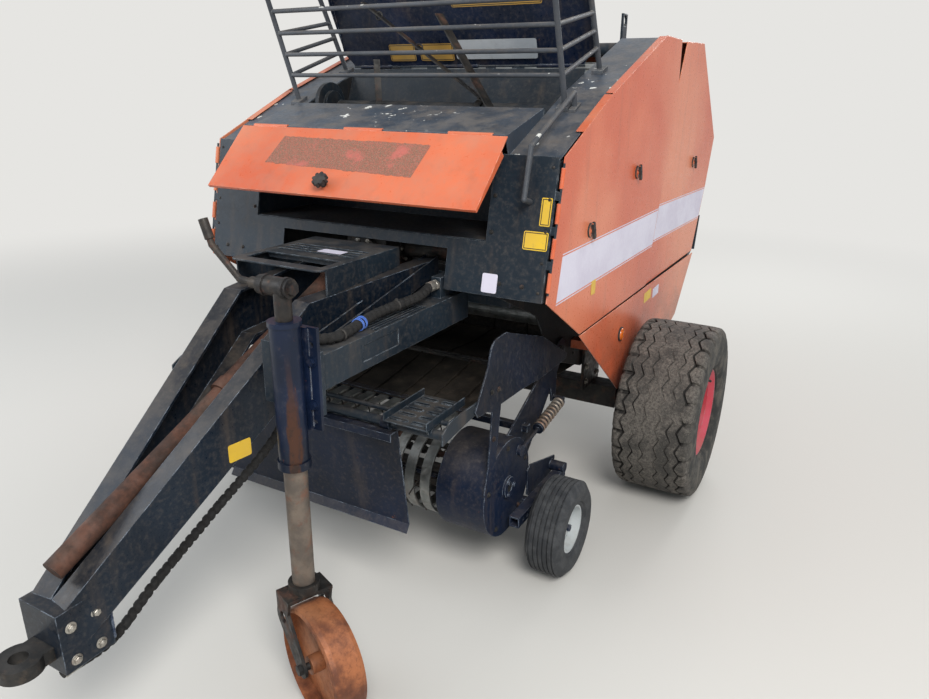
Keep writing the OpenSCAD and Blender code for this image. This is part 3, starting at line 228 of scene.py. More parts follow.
def bare_metal(name, colour, worn, rust, rough, metallic):
    """Greasy or galvanised steel with rust blooms."""
    s = Shader(name)
    soft = s.add("Bevel", {"Radius": 0.002}, samples=4).outputs["Normal"]
    tone = s.blotch(colour, worn, (14.0, 5.0), 0.35, 0.65)
    bloom = s.ramp(s.noise(11.0, 8.0, 0.7), 0.52, 0.66, 0.0, rust)
    tone = s.mix(bloom, tone, RUST)
    tone = s.blotch(tone, EARTH, (30.0, 6.0, 0.7), 0.5, 0.75, 0.5)
    shine = s.ramp(bloom, 0.0, 0.6, metallic, 0.1)
    roughness = s.plus(s.ramp(s.noise(45.0, 4.0), 0.3, 0.7, rough - 0.1, rough + 0.15),
                       s.times(bloom, 0.4))
    return s.finish(tone, roughness, shine, s.noise(120.0, 5.0), 0.25, 0.001, smooth=soft)


def rusty(name, colour, dark, worn, rough=0.8):
    """Rusted steel with darker scale and worn stretches."""
    s = Shader(name)
    tone = s.blotch(dark, colour, (9.0, 8.0, 0.68), 0.36, 0.64)
    tone = s.blotch(tone, worn, (4.0, 4.0), 0.5, 0.7, 0.55)
    tone = s.blotch(tone, dark, (85.0, 6.0, 0.7), 0.5, 0.72, 0.6)
    return s.finish(tone, s.ramp(s.noise(25.0), 0.3, 0.7, rough - 0.15, rough + 0.1), 0.15,
                    s.noise(95.0, 7.0, 0.7), 0.45, 0.0015)


# The jack's place, and the way across its tube as the camera sees it
JACK_X, JACK_Y = 0.375, -2.0
ACROSS_X, ACROSS_Y = 0.8737, 0.4865


def tube_paint(name):
    """The jack's tube: navy paint with a long rust run down one side."""
    s = Shader(name)
    tone = s.blotch(NAVY, NAVY_PALE, (3.0, 5.0), 0.35, 0.68)
    tone = s.blotch(tone, DUST, (24.0, 6.0, 0.7), 0.52, 0.75, 0.12)
    x, y = s.axis(s.place, "X"), s.axis(s.place, "Y")
    across = s.plus(s.times(s.minus(x, JACK_X), ACROSS_X),
                    s.times(s.minus(y, AXLE_Y + JACK_Y), ACROSS_Y))
    uneven = s.times(s.minus(s.noise(4.0, 7.0, 0.7, s.stretch(8.0, 8.0, 1.5)), 0.5), 0.08)
    across = s.plus(across, uneven)
    run = s.times(s.ramp(across, -0.002, 0.006), s.ramp(across, 0.02, 0.03, 1.0, 0.0))
    near = s.ramp(s.minus(s.times(x, ACROSS_Y), s.times(y, ACROSS_X)), 1.355, 1.375)
    low = s.ramp(s.axis(s.place, "Z"), 0.98, 1.24, 1.0, 0.0)
    run = s.times(s.times(run, near), low)
    tone = s.mix(run, tone, "#43291d")
    tone = s.mix(s.times(run, s.ramp(s.noise(30.0, 6.0, 0.7), 0.45, 0.65)), tone, "#2e211c")
    tone = s.blotch(tone, RUST, (38.0, 8.0, 0.72), 0.66, 0.68, 0.7)
    return s.finish(tone, s.ramp(run, 0.0, 1.0, 0.36, 0.7), 0.0, s.noise(110.0, 5.0), 0.2, 0.001,
                    **{"Specular IOR Level": 0.3})


def rubber(name, colour, dust, amount, scale, relief):
    """Rubber with dry dust on it."""
    s = Shader(name)
    mud = s.noise(13.0 * scale, 9.0, 0.72)
    tone = s.mix(s.ramp(mud, 0.4, 0.62, 0.0, amount), colour, dust)
    tone = s.blotch(tone, "#302b27", (70.0 * scale, 5.0, 0.7), 0.45, 0.75, 0.5)
    return s.finish(tone, s.ramp(mud, 0.3, 0.7, 0.72, 0.95), 0.0,
                    s.plus(s.noise(90.0 * scale, 8.0, 0.7), mud), relief, 0.003)


def mud_caked_with_groove_shade(name):
    """A road-worn tyre: grey mud over its tread, painted shade in its grooves, darker and cleaner sidewalls."""
    s = Shader(name)
    y = s.minus(s.axis(s.place, "Y"), AXLE_Y)
    z = s.minus(s.axis(s.place, "Z"), TYRE_R)
    radius = s.math("SQRT", s.plus(s.times(y, y), s.times(z, z)))
    inward = s.math("ABSOLUTE", s.minus(s.math("ABSOLUTE", s.axis(s.place, "X")), HALF_TRACK))
    coat = s.noise(6.0, 7.0, 0.65)
    crumbs = s.noise(85.0, 9.0, 0.8)
    tone = s.mix(s.ramp(crumbs, 0.36, 0.62), "#33302d", "#67625c")
    tone = s.mix(s.ramp(coat, 0.46, 0.6, 0.0, 0.75), tone, "#2b2a28")
    tone = s.blotch(tone, "#8b8479", (210.0, 5.0, 0.7), 0.55, 0.68, 0.6)
    tone = s.blotch(tone, "#2a2725", (150.0, 5.0, 0.7), 0.56, 0.68, 0.7)
    # Painted shade: the bottoms of the grooves and of the slots between blocks are darkened towards near black.
    groove = s.times(s.ramp(radius, 0.4125, 0.4195, 1.0, 0.0), s.ramp(inward, 0.15, 0.158, 1.0, 0.0))
    tone = s.mix(s.times(groove, s.ramp(coat, 0.35, 0.6, 0.6, 1.0)), tone, "#1b1917")
    wall = s.ramp(radius, 0.372, 0.398, 1.0, 0.0)
    side = s.blotch("#292a29", "#6d665c", (12.0, 8.0, 0.7), 0.42, 0.68, 0.6)
    tone = s.mix(wall, tone, side)
    return s.finish(tone, s.ramp(coat, 0.3, 0.7, 0.95, 0.8), 0.0, s.plus(crumbs, coat), 0.6, 0.004)


def sticker(name, colour, faded, scratch="#6b6352", amount=0.35):
    """A blank film sticker, sun-faded and scuffed."""
    s = Shader(name)
    tone = s.blotch(colour, faded, (5.0, 4.0), 0.35, 0.65)
    tone = s.blotch(tone, scratch, (26.0, 7.0, 0.75), 0.56, 0.72, amount)
    tone = s.blotch(tone, scratch, (3.0, 8.0, 0.7, s.stretch(6.0, 6.0, 0.6)), 0.6, 0.7, amount)
    return s.finish(tone, s.ramp(s.noise(60.0), 0.3, 0.7, 0.35, 0.6), 0.0, s.noise(220.0, 3.0), 0.1, 0.0005)


def glue_rest(name):
    """The bare patch of the lid: paint under grey and brown crumbs of old glue, thin to the edges."""
    s = Shader(name)
    crumbs = s.noise(230.0, 8.0, 0.8)
    tone = s.mix(s.ramp(crumbs, 0.4, 0.56), "#a9584a", "#6e5341")
    tone = s.blotch(tone, "#8d8474", (310.0, 4.0, 0.7), 0.52, 0.64, 0.8)
    tone = s.blotch(tone, "#c4615a", (9.0, 5.0), 0.52, 0.66, 0.55)
    return s.finish(tone, 0.85, 0.0, crumbs, 0.7, 0.001)


def lens(name, colour, deep):
    s = Shader(name)
    tone = s.blotch(colour, deep, (90.0, 3.0), 0.4, 0.65)
    return s.finish(tone, s.ramp(s.noise(50.0, 4.0), 0.35, 0.7, 0.12, 0.4), 0.0, s.noise(150.0), 0.08, 0.0005,
                    **{"Coat Weight": 0.6})


ORANGE = "#c05734"
ORANGE_PALE = "#cc6b48"
ORANGE_SUN = "#d68663"
HOOD = "#18212a"
HOOD_PALE = "#222d37"
NAVY = "#0b1423"
NAVY_PALE = "#13203a"
ARM = "#0d151f"
ARM_PALE = "#14202d"
BLUE_WEAR = {"rust": RUST, "wear": "#8c98a6"}


def make_materials():
    return {
        "orange": painted("orange_paint", ORANGE, ORANGE_PALE, dust=0.25, chips=0.22, gloss=0.32, streaks=0.16,
                          specks=0.03, wear="#e6ab95", sun=ORANGE_SUN, low_darkening=0.7, shine=0.4),
        "hood": painted("hood_paint", HOOD, HOOD_PALE, dust=0.2, chips=0.3, gloss=0.38, wear="#7d868e"),
        # The roof: dark paint whose colours are tinted blue, as a painted reflection of the sky on the glossy
        # sheet.
        "roof": painted("roof_paint_and_sky_sheen", "#2a3440", "#3a4756", dust=0.3, shine=0.5, chips=0.3, gloss=0.36,
                        wear="#7d868e", droppings=0.95),
        "navy": painted("navy_paint", NAVY, NAVY_PALE, dust=0.4, chips=0.45, gloss=0.34, **BLUE_WEAR),
        "arm": painted("arm_paint", ARM, ARM_PALE, dust=0.16, chips=0.4, gloss=0.34, **BLUE_WEAR),
        "pickup": painted("pickup_paint", "#08111f", "#0e1c33", dust=0.14, chips=0.6, gloss=0.46, streaks=0.2,
                          **BLUE_WEAR),
        "jack_tube": tube_paint("jack_tube_paint"),
        "crank": bare_metal("crank_steel", "#201f20", "#37332f", 0.4, 0.5, 0.4),
        "blue_twine": rubber("blue_twine", "#3a63b8", "#6f8ac2", 0.4, 3.0, 0.3),
        "steel": bare_metal("dark_steel", "#242424", "#3b3937", 0.35, 0.5, 0.5),
        "rack": painted("rack_paint", "#3a3e44", "#4d5157", dust=0.3, chips=0.5, gloss=0.45, wear="#9a9a96",
                        droppings=0.8),
        "galvanised": bare_metal("galvanised_steel", "#777a79", "#9a9b98", 0.2, 0.4, 0.8),
        "spring": bare_metal("spring_steel", "#8d857b", "#6f5c4c", 0.5, 0.45, 0.6),
        "leg": bare_metal("leg_steel", "#5c544d", "#776b60", 0.55, 0.5, 0.4),
        "feed": painted("feed_sheet_paint", "#0f0e0d", "#1b1714", dust=0.12, chips=0.5, gloss=0.6, wear="#4a4038"),
        "zinc": bare_metal("zinc_bolts", "#8a8781", "#b3afa6", 0.45, 0.4, 0.8),
        "chrome": bare_metal("rod_chrome", "#b8bbbd", "#8d9092", 0.1, 0.25, 1.0),
        "rusty": rusty("rusty_steel", "#5b3a2c", "#2f2019", "#665a51"),
        "wheel_rust": rusty("jack_wheel_rust", "#a1623c", "#5d3320", "#b37b56", 0.6),
        "tyre": mud_caked_with_groove_shade("muddy_rubber_and_groove_shade"),
        "small_tyre": rubber("worn_rubber", "#26292d", "#666768", 0.3, 1.6, 0.4),
        "hose": rubber("hose_rubber", "#0d0d0e", "#3a3733", 0.12, 2.0, 0.3),
        "knob": rubber("knob_black", "#1c1d20", "#5a554e", 0.4, 2.0, 0.3),
        "rim": painted("rim_paint", "#b23a45", "#c4566a", dust=0.4, chips=0.35, gloss=0.4),
        "pale_rim": painted("pale_rim_paint", "#a7adaf", "#c2c7c8", dust=0.3, chips=0.5, gloss=0.4, rust=RUST),
        "dark_inside": painted("chamber_paint", "#15181c", "#22262b", dust=0.6, chips=0.4, gloss=0.6),
        "white": sticker("white_film", "#cfccda", "#c5c0d0", "#a09aa3", 0.08),
        "yellow": sticker("yellow_film", "#d9b32a", "#cfa83a"),
        "amber": sticker("faded_film", "#a98339", "#97793f"),
        "grey_film": sticker("grey_film", "#a3a7ab", "#8f959b"),
        "black_film": sticker("black_film", "#1c1c1b", "#33312e"),
        "glue": glue_rest("glue_rest"),
        "orange_lens": lens("orange_lens", "#e8741c", "#c2560f"),
        "red_lens": lens("red_lens", "#a5161b", "#7a0f14"),
    }


NODE_MATERIALS = {
    "orange": ["lower_guards", "twine_lid", "door_left", "door_right", "tailgate_sheet", "tailgate_panels"],
    "hood": ["cross_beam", "jack_beam", "driveline_guard", "front_hood", "twine_box", "net_trough",
             "top_tube", "tail_brackets", "step"],
    "roof": ["roof"],
    "navy": ["net_cover"],
    "pickup": ["pickup_frame", "gauge_arms", "windguard"],
    "arm": ["drawbar"],
    "crank": ["jack_crank"],
    "jack_tube": ["jack_tube"],
    "rack": ["rack", "grab_rail"],
    "steel": ["axle", "hitch_eye", "gearbox", "net_arms", "side_drive",
              "cylinder_left", "cylinder_right", "tine_reel", "jack_fork"],
    "knob": ["lid_knob"],
    "galvanised": ["front_rollers", "tailgate_rollers", "stripper_bands"],
    "dark_inside": ["side_frames", "tailgate_frame"],
    "chrome": ["rod_left", "rod_right"],
    "rusty": ["pto_shaft"],
    "leg": ["jack_leg"],
    "wheel_rust": ["jack_wheel"],
    "tyre": ["tyre_left", "tyre_right"],
    "small_tyre": ["gauge_tyre_left", "gauge_tyre_right"],
    "hose": ["hoses"],
    "rim": ["rim_left", "rim_right"],
    "pale_rim": ["gauge_rim_left", "gauge_rim_right"],
}


def dress_nodes(materials):
    for key, names in NODE_MATERIALS.items():
        for name in names:
            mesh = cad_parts[name].data
            mesh.materials.clear()
            mesh.materials.append(materials[key])


# Mesh building

# Thickness of a film, and the gap that keeps it from sharing a face with its sheet
FILM, OFF_SHEET = 0.0006, 0.0001


def at_axle(x, y, z):
    """A point given with y = 0 at the wheel axle."""
    return Vector((x, y + AXLE_Y, z))


def facing(at, normal, along=None):
    """A frame at a point whose Z is the normal and whose X lies as near as it can to along."""
    normal = Vector(normal).normalized()
    along = Vector(along) if along else Vector((0, 0, 1)) if abs(normal.z) < 0.9 else Vector((0, 1, 0))
    side = normal.cross(along).normalized()
    turn = Matrix((side.cross(normal), side, normal)).transposed().to_4x4()
    return Matrix.Translation(at) @ turn


class Solid:
    """Points and faces of one piece, built up from revolved, swept and flat parts."""

    def __init__(self):
        self.points = []
        self.faces = []

    def rings(self, rings, caps=True):
        """Skins a row of rings that have as many points each."""
        first, count = len(self.points), len(rings[0])
        for ring in rings:
            self.points.extend(ring)
        for i in range(len(rings) - 1):
            for j in range(count):
                a, b = first + i * count + j, first + i * count + (j + 1) % count
                self.faces.append((a, b, b + count, a + count))
        if caps:
            last = first + (len(rings) - 1) * count
            self.faces.append(tuple(first + j for j in reversed(range(count))))
            self.faces.append(tuple(last + j for j in range(count)))

    def turned(self, profile, place, count=24, closed=False):
        """Turns a profile of (radius, height) pairs about the Z of a frame."""
        rings = []
        for radius, height in profile:
            rings.append([place @ Vector((radius * math.cos(2 * math.pi * j / count),
                                          radius * math.sin(2 * math.pi * j / count), height))
                          for j in range(count)])
        self.rings(rings + rings[:1] if closed else rings, caps=not closed)

    def bolt(self, at, normal, size):
        """A hex head with a chamfer, a washer and the end of its thread."""
        place = facing(at, normal)
        self.turned([(size * 1.5, 0), (size * 1.5, 0.0016), (size * 1.38, 0.0024), (size * 0.9, 0.0024)],
                    place, 18)
        self.turned([(size, 0.0022), (size, 0.0022 + size * 0.62), (size * 0.88, 0.0022 + size * 0.74)], place, 6)
        self.turned([(size * 0.5, size * 0.7), (size * 0.5, size * 0.98), (size * 0.38, size * 1.08)], place, 10)

    def rivet(self, at, normal, size):
        self.turned([(size, 0), (size * 0.94, size * 0.25), (size * 0.7, size * 0.45), (size * 0.3, size * 0.56)],
                    facing(at, normal), 12)

    def slab(self, outline, place, low, high):
        """A flat block with this outline in the frame's X and Y, from height low to height high."""
        self.rings([[place @ Vector((x, y, h)) for x, y in outline] for h in (low, high)])

    def plate(self, corners, place, lift=FILM, round_by=0.12):
        """A thin flat plate with rounded corners, from corners in the frame's X and Y."""
        outline = []
        count = len(corners)
        for i, corner in enumerate(corners):
            here = Vector(corner)
            before, after = Vector(corners[i - 1]) - here, Vector(corners[(i + 1) % count]) - here
            cut = min(before.length, after.length) * round_by
            a, b = here + before.normalized() * cut, here + after.normalized() * cut
            for k in range(4):
                t = k / 3
                outline.append(a * (1 - t) ** 2 + here * 2 * t * (1 - t) + b * t ** 2)
        self.slab(outline, place, OFF_SHEET, lift)

    def box(self, low, high, place, cut=0.15):
        """A block with chamfered long edges, in a frame."""
        c = min(high[0] - low[0], high[1] - low[1]) * cut
        outline = [(low[0] + c, low[1]), (high[0] - c, low[1]), (high[0], low[1] + c), (high[0], high[1] - c),
                   (high[0] - c, high[1]), (low[0] + c, high[1]), (low[0], high[1] - c), (low[0], low[1] + c)]
        self.slab(outline, place, low[2], high[2])

    def sweep(self, path, radius, count):
        """A round section along a path; radius is a number or a function of step and angle."""
        rings = []
        side = None
        for i, point in enumerate(path):
            ahead = (path[min(i + 1, len(path) - 1)] - path[max(i - 1, 0)]).normalized()
            if side is None:
                side = ahead.orthogonal().normalized()
            side = (side - ahead * side.dot(ahead)).normalized()
            other = ahead.cross(side)
            ring = []
            for j in range(count):
                a = 2 * math.pi * j / count
                r = radius(i, a) if callable(radius) else radius
                ring.append(point + (side * math.cos(a) + other * math.sin(a)) * r)
            rings.append(ring)
        self.rings(rings)

    def weld(self, a, b, size, seed):
        """A hand-laid weld bead from a to b."""
        step = 0.0035
        count = max(6, int((b - a).length / step))
        wobble = random.Random(seed)
        shift = [wobble.uniform(0.82, 1.15) for _ in range(count + 1)]
        path = [a.lerp(b, i / count) for i in range(count + 1)]
        self.sweep(path, lambda i, _: size * shift[i] * (0.35 if i in (0, count) else 1.0), 8)

    def piece(self, name, material, body, slot, smooth=38.0):
        mesh = bpy.data.meshes.new(name)
        mesh.from_pydata([tuple(p) for p in self.points], [], self.faces)
        mesh.validate()
        work = bmesh.new()
        work.from_mesh(mesh)
        bmesh.ops.recalc_face_normals(work, faces=work.faces)
        work.to_mesh(mesh)
        work.free()
        mesh.shade_smooth()
        mesh.set_sharp_from_angle(angle=math.radians(smooth))
        mesh.materials.append(MATERIALS[material])
        piece = put(name, mesh)
        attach(piece, body)
        return piece


def smooth_path(points):
    """A Catmull-Rom curve through the points."""
    ends = [points[0] * 2 - points[1]] + list(points) + [points[-1] * 2 - points[-2]]
    path = []
    for i in range(1, len(ends) - 2):
        p0, p1, p2, p3 = ends[i - 1:i + 3]
        count = max(10, int((p2 - p1).length / 0.006))
        for k in range(count):
            t = k / count
            path.append(0.5 * ((2 * p1) + (p2 - p0) * t + (2 * p0 - 5 * p1 + 4 * p2 - p3) * t ** 2
                               + (3 * p1 - p0 - 3 * p2 + p3) * t ** 3))
    return path + [ends[-2]]


def both_sides(make):
    for name, side in (("left", 1), ("right", -1)):
        make(name, side)


# Tyres

TYRE_R, TYRE_HALF, RIM_R = 0.425, 0.1875, 0.216
HALF_TRACK = 0.818 + 0.0345 + TYRE_HALF
TREAD_BLOCKS = 28
# Rows within one tread block, as shares of its length; a slot between two blocks lies at 0
BLOCK_ROWS = (-0.1, -0.06, -0.02, 0.02, 0.06, 0.1, 0.19, 0.28, 0.37, 0.46, 0.54, 0.63, 0.72, 0.81)
# Place across the tread, half width and depth of each zigzag groove
GROOVES = ((0.033, 0.0036, 0.009), (0.084, 0.0042, 0.011), (0.13, 0.006, 0.014))
# Radius, place across and slot depth from the tread's edge down the sidewall to the bead
SHOULDER = ((0.4226, 0.142, 0.014), (0.422, 0.15, 0.014), (0.421, 0.158, 0.014), (0.419, 0.166, 0.0135),
            (0.4145, 0.1725, 0.013), (0.407, 0.1778, 0.0115), (0.397, 0.1812, 0.0095), (0.386, 0.1838, 0.006),
            (0.374, 0.1852, 0.0), (0.36, 0.1862, 0.0), (0.346, 0.1868, 0.0), (0.342, 0.1875, 0.0),
            (0.334, 0.1875, 0.0), (0.33, 0.1872, 0.0), (0.3, 0.1872, 0.0), (0.262, 0.184, 0.0),
            (0.24, 0.176, 0.0), (0.232, 0.168, 0.0), (0.222, 0.166, 0.0), (RIM_R + 0.001, 0.158, 0.0))


def tread_columns():
    """The tyre's section from its middle to the bead: radius, place, groove depth, slot depth, zigzag share."""
    spots = [(0.0, 0.0), (0.012, 0.0), (0.022, 0.0)]
    for centre, half, depth in GROOVES:
        spots += [(centre - half, 0.0), (centre - half + 0.0016, depth), (centre + half - 0.0016, depth),
                  (centre + half, 0.0)]
        spots += {0.033: [(0.046, 0.0), (0.058, 0.0), (0.07, 0.0)],
                  0.084: [(0.097, 0.0), (0.107, 0.0), (0.116, 0.0)]}.get(centre, [])
    columns = [(0.4246 - 0.002 * (x / 0.142) ** 2, x, depth, 0.014 if x > 0.134 else 0.0, 1.0)
               for x, depth in spots]
    return columns + [(r, x, 0.0, slot, max(0.0, min(1.0, (0.156 - x) / 0.022))) for r, x, slot in SHOULDER]


def make_tyre(name, side):
    """A flotation tyre: zigzag grooves round it, a row of blocks on each shoulder, dried mud over all."""
    hub = at_axle(side * HALF_TRACK, 0, TYRE_R)
    half = tread_columns()
    section = [(r, -x, d, slot, z) for r, x, d, slot, z in reversed(half)] + half[1:]
    outward = []
    for i in range(len(section)):
        before, after = section[max(i - 1, 0)], section[min(i + 1, len(section) - 1)]
        outward.append(Vector((after[1] - before[1], before[0] - after[0])).normalized())
    solid = Solid()
    rings = []
    for (radius, across, depth, slot, share), (out_r, out_x) in zip(section, outward):
        ring = []
        for block in range(TREAD_BLOCKS):
            for v in BLOCK_ROWS:
                a = 2 * math.pi * (block + v) / TREAD_BLOCKS
                spot = Vector((across + side * 3.0, radius * math.sin(a), -radius * math.cos(a)))
                rough = noise.noise(spot * 70.0)
                lump = noise.noise(spot * 21.0)
                zigzag = (4 * abs((v % 1.0) - 0.5) - 1) * 0.0115 + 0.004 * noise.noise(spot * 16.0)
                packed = min(1.0, max(0.2, 0.75 + 1.1 * noise.noise(spot * 9.0)))
                open_slot = min(1.0, max(0.0, (0.11 - abs(v)) / 0.045)) if v < 0.5 else 0.0
                sunk = depth * packed + slot * open_slot * min(1.0, packed + 0.25)
                if radius > 0.38:
                    sunk += 0.0011 + 0.0009 * rough + 0.0012 * abs(lump)
                elif 0.24 < radius < 0.375:
                    sunk += 0.0006 + 0.0005 * rough
                x = across + zigzag * share - out_x * sunk
                r = radius - out_r * sunk
                ring.append(hub + Vector((x, r * math.sin(a), -r * math.cos(a))))
        rings.append(ring)
    solid.rings(rings + rings[:1], caps=False)
    body = "wheel_" + name
    tyre = solid.piece("tread_tyre_" + name, "tyre", body, "tyre_rubber", 42)
    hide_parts("tyre_" + name)
    cap = Solid()
    cap.turned([(0.034, 0.0), (0.034, 0.012), (0.031, 0.014), (0.031, 0.034), (0.026, 0.042), (0.01, 0.046)],
               facing(hub + Vector((side * 0.0605, 0, 0)), (side, 0, 0)), 28)
    for k in range(8):
        a = math.radians(45 * k)
        cap.turned([(0.006, 0), (0.006, 0.01), (0.004, 0.012)],
                   facing(hub + Vector((side * 0.016, 0.086 * math.cos(a), 0.086 * math.sin(a))), (side, 0, 0)),
                   10)
    cap.piece("hub_cap_" + name, "zinc", body, "bare_steel")
    valve = Solid()
    valve.turned([(0.005, 0), (0.005, 0.03), (0.004, 0.034), (0.006, 0.035), (0.006, 0.045), (0.004, 0.047)],
                 facing(hub + Vector((side * 0.128, 0, 0.178)), (side, 0, -0.3)), 10)
    valve.piece("tyre_valve_" + name, "knob", body, "tyre_rubber")


GAUGE_X, GAUGE_Y, GAUGE_R = 0.8375, -0.961, 0.203


def make_gauge_tyre(name, side):
    hub = at_axle(side * GAUGE_X, GAUGE_Y, GAUGE_R)
    half = [(0.102, 0.06), (0.108, 0.066), (0.116, 0.066), (0.122, 0.073), (0.15, 0.0783), (0.168, 0.0782),
            (0.176, 0.0765), (0.184, 0.07), (0.19, 0.065), (0.1945, 0.062)]
    tread = []
    for groove in (0.05, 0.03, 0.01):
        tread += [(0.202, groove + 0.0055), (0.2022, groove + 0.0028), (0.1965, groove + 0.0018),
                  (0.1965, groove - 0.0018), (0.2022, groove - 0.0028)]
    outer = half + tread
    profile = outer + [(0.203, 0.0)] + [(r, -x) for r, x in reversed(outer)]
    solid = Solid()
    solid.turned(profile, facing(hub, (1, 0, 0)), 96, closed=True)
    tyre = solid.piece("ribbed_tyre_" + name, "small_tyre", "gauge_wheel_" + name, "tyre_rubber", 30)
    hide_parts("gauge_tyre_" + name)


# Hoses

BEAM_HOSE = [(0.375, -1.1803, 1.222), (0.375, -1.23, 1.222), (0.385, -1.325, 1.208), (0.363, -1.542, 1.2),
             (0.383, -1.78, 1.1892), (0.323, -1.872, 1.1892), (0.323, -1.892, 1.11), (0.323, -1.885, 0.98)]
ARM_HOSE = [(0.16, -1.65, 1.0152), (0.157, -1.71, 0.9771), (0.13, -1.83, 0.8), (0.06, -2.06, 0.612),
            (0.034, -2.28, 0.48), (0.038, -2.45, 0.3926), (0.038, -2.61, 0.3926)]
BEAM_HOSE_R, ARM_HOSE_R, TWINE_R = 0.018, 0.016, 0.0022


def make_hoses():
    solid = Solid()
    for points, radius in ((BEAM_HOSE, BEAM_HOSE_R), (ARM_HOSE, ARM_HOSE_R)):
        path = smooth_path([at_axle(*p) for p in points])
        run = [0.0]
        for a, b in zip(path, path[1:]):
            run.append(run[-1] + (b - a).length)

        def wrapped(i, angle):
            phase = (run[i] / 0.026 + angle / (2 * math.pi)) % 1.0
            groove = 1.0 if phase > 0.24 else 0.0
            return radius - 0.0046 + 0.0044 * groove
        solid.sweep(path, wrapped, 24)
    hoses = solid.piece("wrapped_hoses", "hose", "chassis", "hose_rubber", 50)
    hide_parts("hoses")
    ends = Solid()
    for point, way, radius in ((BEAM_HOSE[0], (0, -1, 0), BEAM_HOSE_R), (BEAM_HOSE[-1], (0, 0, 1), BEAM_HOSE_R),
                               (ARM_HOSE[-1], (0, 1, 0), ARM_HOSE_R)):
        place = facing(at_axle(*point), way)
        ends.turned([(radius, 0.001), (radius * 1.16, 0.003), (radius * 1.16, 0.017), (radius, 0.019)], place, 6)
        ends.turned([(radius * 1.04, 0.019), (radius * 1.08, 0.022), (radius * 1.08, 0.05), (radius, 0.053)],
                    place, 20)
    ends.piece("hose_fittings", "zinc", "chassis", "bare_steel")
    ties = Solid()
    path = smooth_path([at_axle(*p) for p in BEAM_HOSE])
    for k in (0.3, 0.63):
        i = int(k * len(path))
        ahead = (path[i + 1] - path[i - 1]).normalized()
        place = facing(path[i] - ahead * 0.004, ahead)
        ties.turned([(0.0184, 0), (0.0196, 0.001), (0.0196, 0.007), (0.0184, 0.008)], place, 24, closed=True)
        ties.box((0.0175, -0.004, 0.0), (0.0245, 0.004, 0.008), place)
    ties.piece("hose_ties", "knob", "chassis", "hose_rubber")
    knot = Solid()
    for k, lean in ((0.505, 0.25), (0.512, -0.2), (0.52, 0.1), (0.528, -0.3)):
        i = int(k * len(path))
        ahead = (path[i + 1] - path[i - 1]).normalized()
        side = ahead.orthogonal().normalized()
        other = ahead.cross(side)
        loop = []
        for j in range(25):
            a = 2 * math.pi * j / 24
            out = (side * math.cos(a) + other * math.sin(a)) * (BEAM_HOSE_R + TWINE_R + 0.0001)
            loop.append(path[i] + out + ahead * 0.006 * lean * math.sin(a))
        knot.sweep(loop, TWINE_R, 6)
    knot.piece("blue_tie", "blue_twine", "chassis", "hose_rubber")


# Stripes, stickers and lamps

# Outer faces of the door and of the tail panel, from the centre plane
DOOR_X, TAIL_X = 0.818, 0.806


DOOR_STRIPE = [(-1.075, 1.177), (0.168, 1.181), (0.224, 1.362), (-1.03, 1.36)]
TAIL_STRIPE = [(0.196, 1.19), (1.222, 1.174), (1.316, 1.352), (0.251, 1.374)]


def make_stripe(name, side):
    for label, body, x, quad in (("door", "door_" + name, DOOR_X, DOOR_STRIPE),
                                 ("tail", "tailgate", TAIL_X, TAIL_STRIPE)):
        solid = Solid()
        a, b, c, d = (at_axle(side * x, y, z) for y, z in quad)
        for k0, k1 in ((0.0, 0.022), (0.052, 0.948), (0.978, 1.0)):
            corners = a.lerp(d, k0), b.lerp(c, k0), b.lerp(c, k1), a.lerp(d, k1)
            solid.rings([[p + Vector((side * h, 0, 0)) for p in corners] for h in (OFF_SHEET, FILM)])
        solid.piece("stripe_" + label + "_" + name, "white", body, "orange_paint")


# Width of a sticker's black line and how far it lies inside the edge
RIM_LINE, RIM_INSET = 0.0028, 0.004
# name, body, material, centre, plane or normal, width, height, lean in degrees, black line (1) or none (0)
STICKERS = [
    ("hood_tall", "chassis", "yellow", (0.776, -1.1033, 1.516), "face", 0.04, 0.098, 0, 1),
    ("hood_square", "chassis", "yellow", (0.75, -1.1247, 1.416), "face", 0.094, 0.066, 0, 1),
    ("hood_small", "chassis", "white", (0.59, -1.1696, 1.253), "face", 0.062, 0.07, 0, 0),
    ("door_mark", "door_left", "yellow", (0.8186, -0.679, 1.159), (1, 0, 0), 0.05, 0.06, 0, 0),
    ("guard_mark", "chassis", "yellow", (0.8181, 0.17, 0.925), (1, 0, 0), 0.12, 0.052, 3, 0),
    ("guard_label", "chassis", "white", (0.8181, 0.322, 0.915), (1, 0, 0), 0.11, 0.05, 3, 0),
    ("cover_top", "net_cover", "amber", (0.219, -0.4449, 2.285), "cover_top", 0.43, 0.075, 0, 1),
    ("cover_left", "net_cover", "amber", (-0.2955, -0.3737, 2.072), "cover", 0.142, 0.076, 0, 1),
    ("cover_mid", "net_cover", "amber", (-0.1085, -0.3737, 2.072), "cover", 0.178, 0.076, 0, 1),
    ("cover_right", "net_cover", "grey_film", (0.1935, -0.3768, 2.081), "cover", 0.4, 0.084, 0, 0),
]
# The front face: its lower edge, its slope and its sheet's thickness
FACE_LOW, FACE_ANGLE, FACE_SHEET = (-1.166, 1.205), math.atan2(0.495, 0.106), 0.0041
NORMALS = {
    "face": (0, -math.sin(FACE_ANGLE), math.cos(FACE_ANGLE)),
    "cover": (0, -0.9407, -0.339),
    "cover_top": (0, -0.9353, -0.3539),
}


# A point of each plane that stickers lie on, with the sheet's thickness
PLANES = {"face": (0, *FACE_LOW, FACE_SHEET), "cover": (0, -0.346, 2.012, 0.0042),
          "cover_top": (0, -0.428, 2.251, 0.0042)}


def film_at(place, wide, tall):
    """A sticker's film, centred on a frame whose X points to its top."""
    a, b = tall / 2, wide / 2
    solid = Solid()
    solid.plate([(-a, -b), (a, -b), (a, b), (-a, b)], place)
    return solid


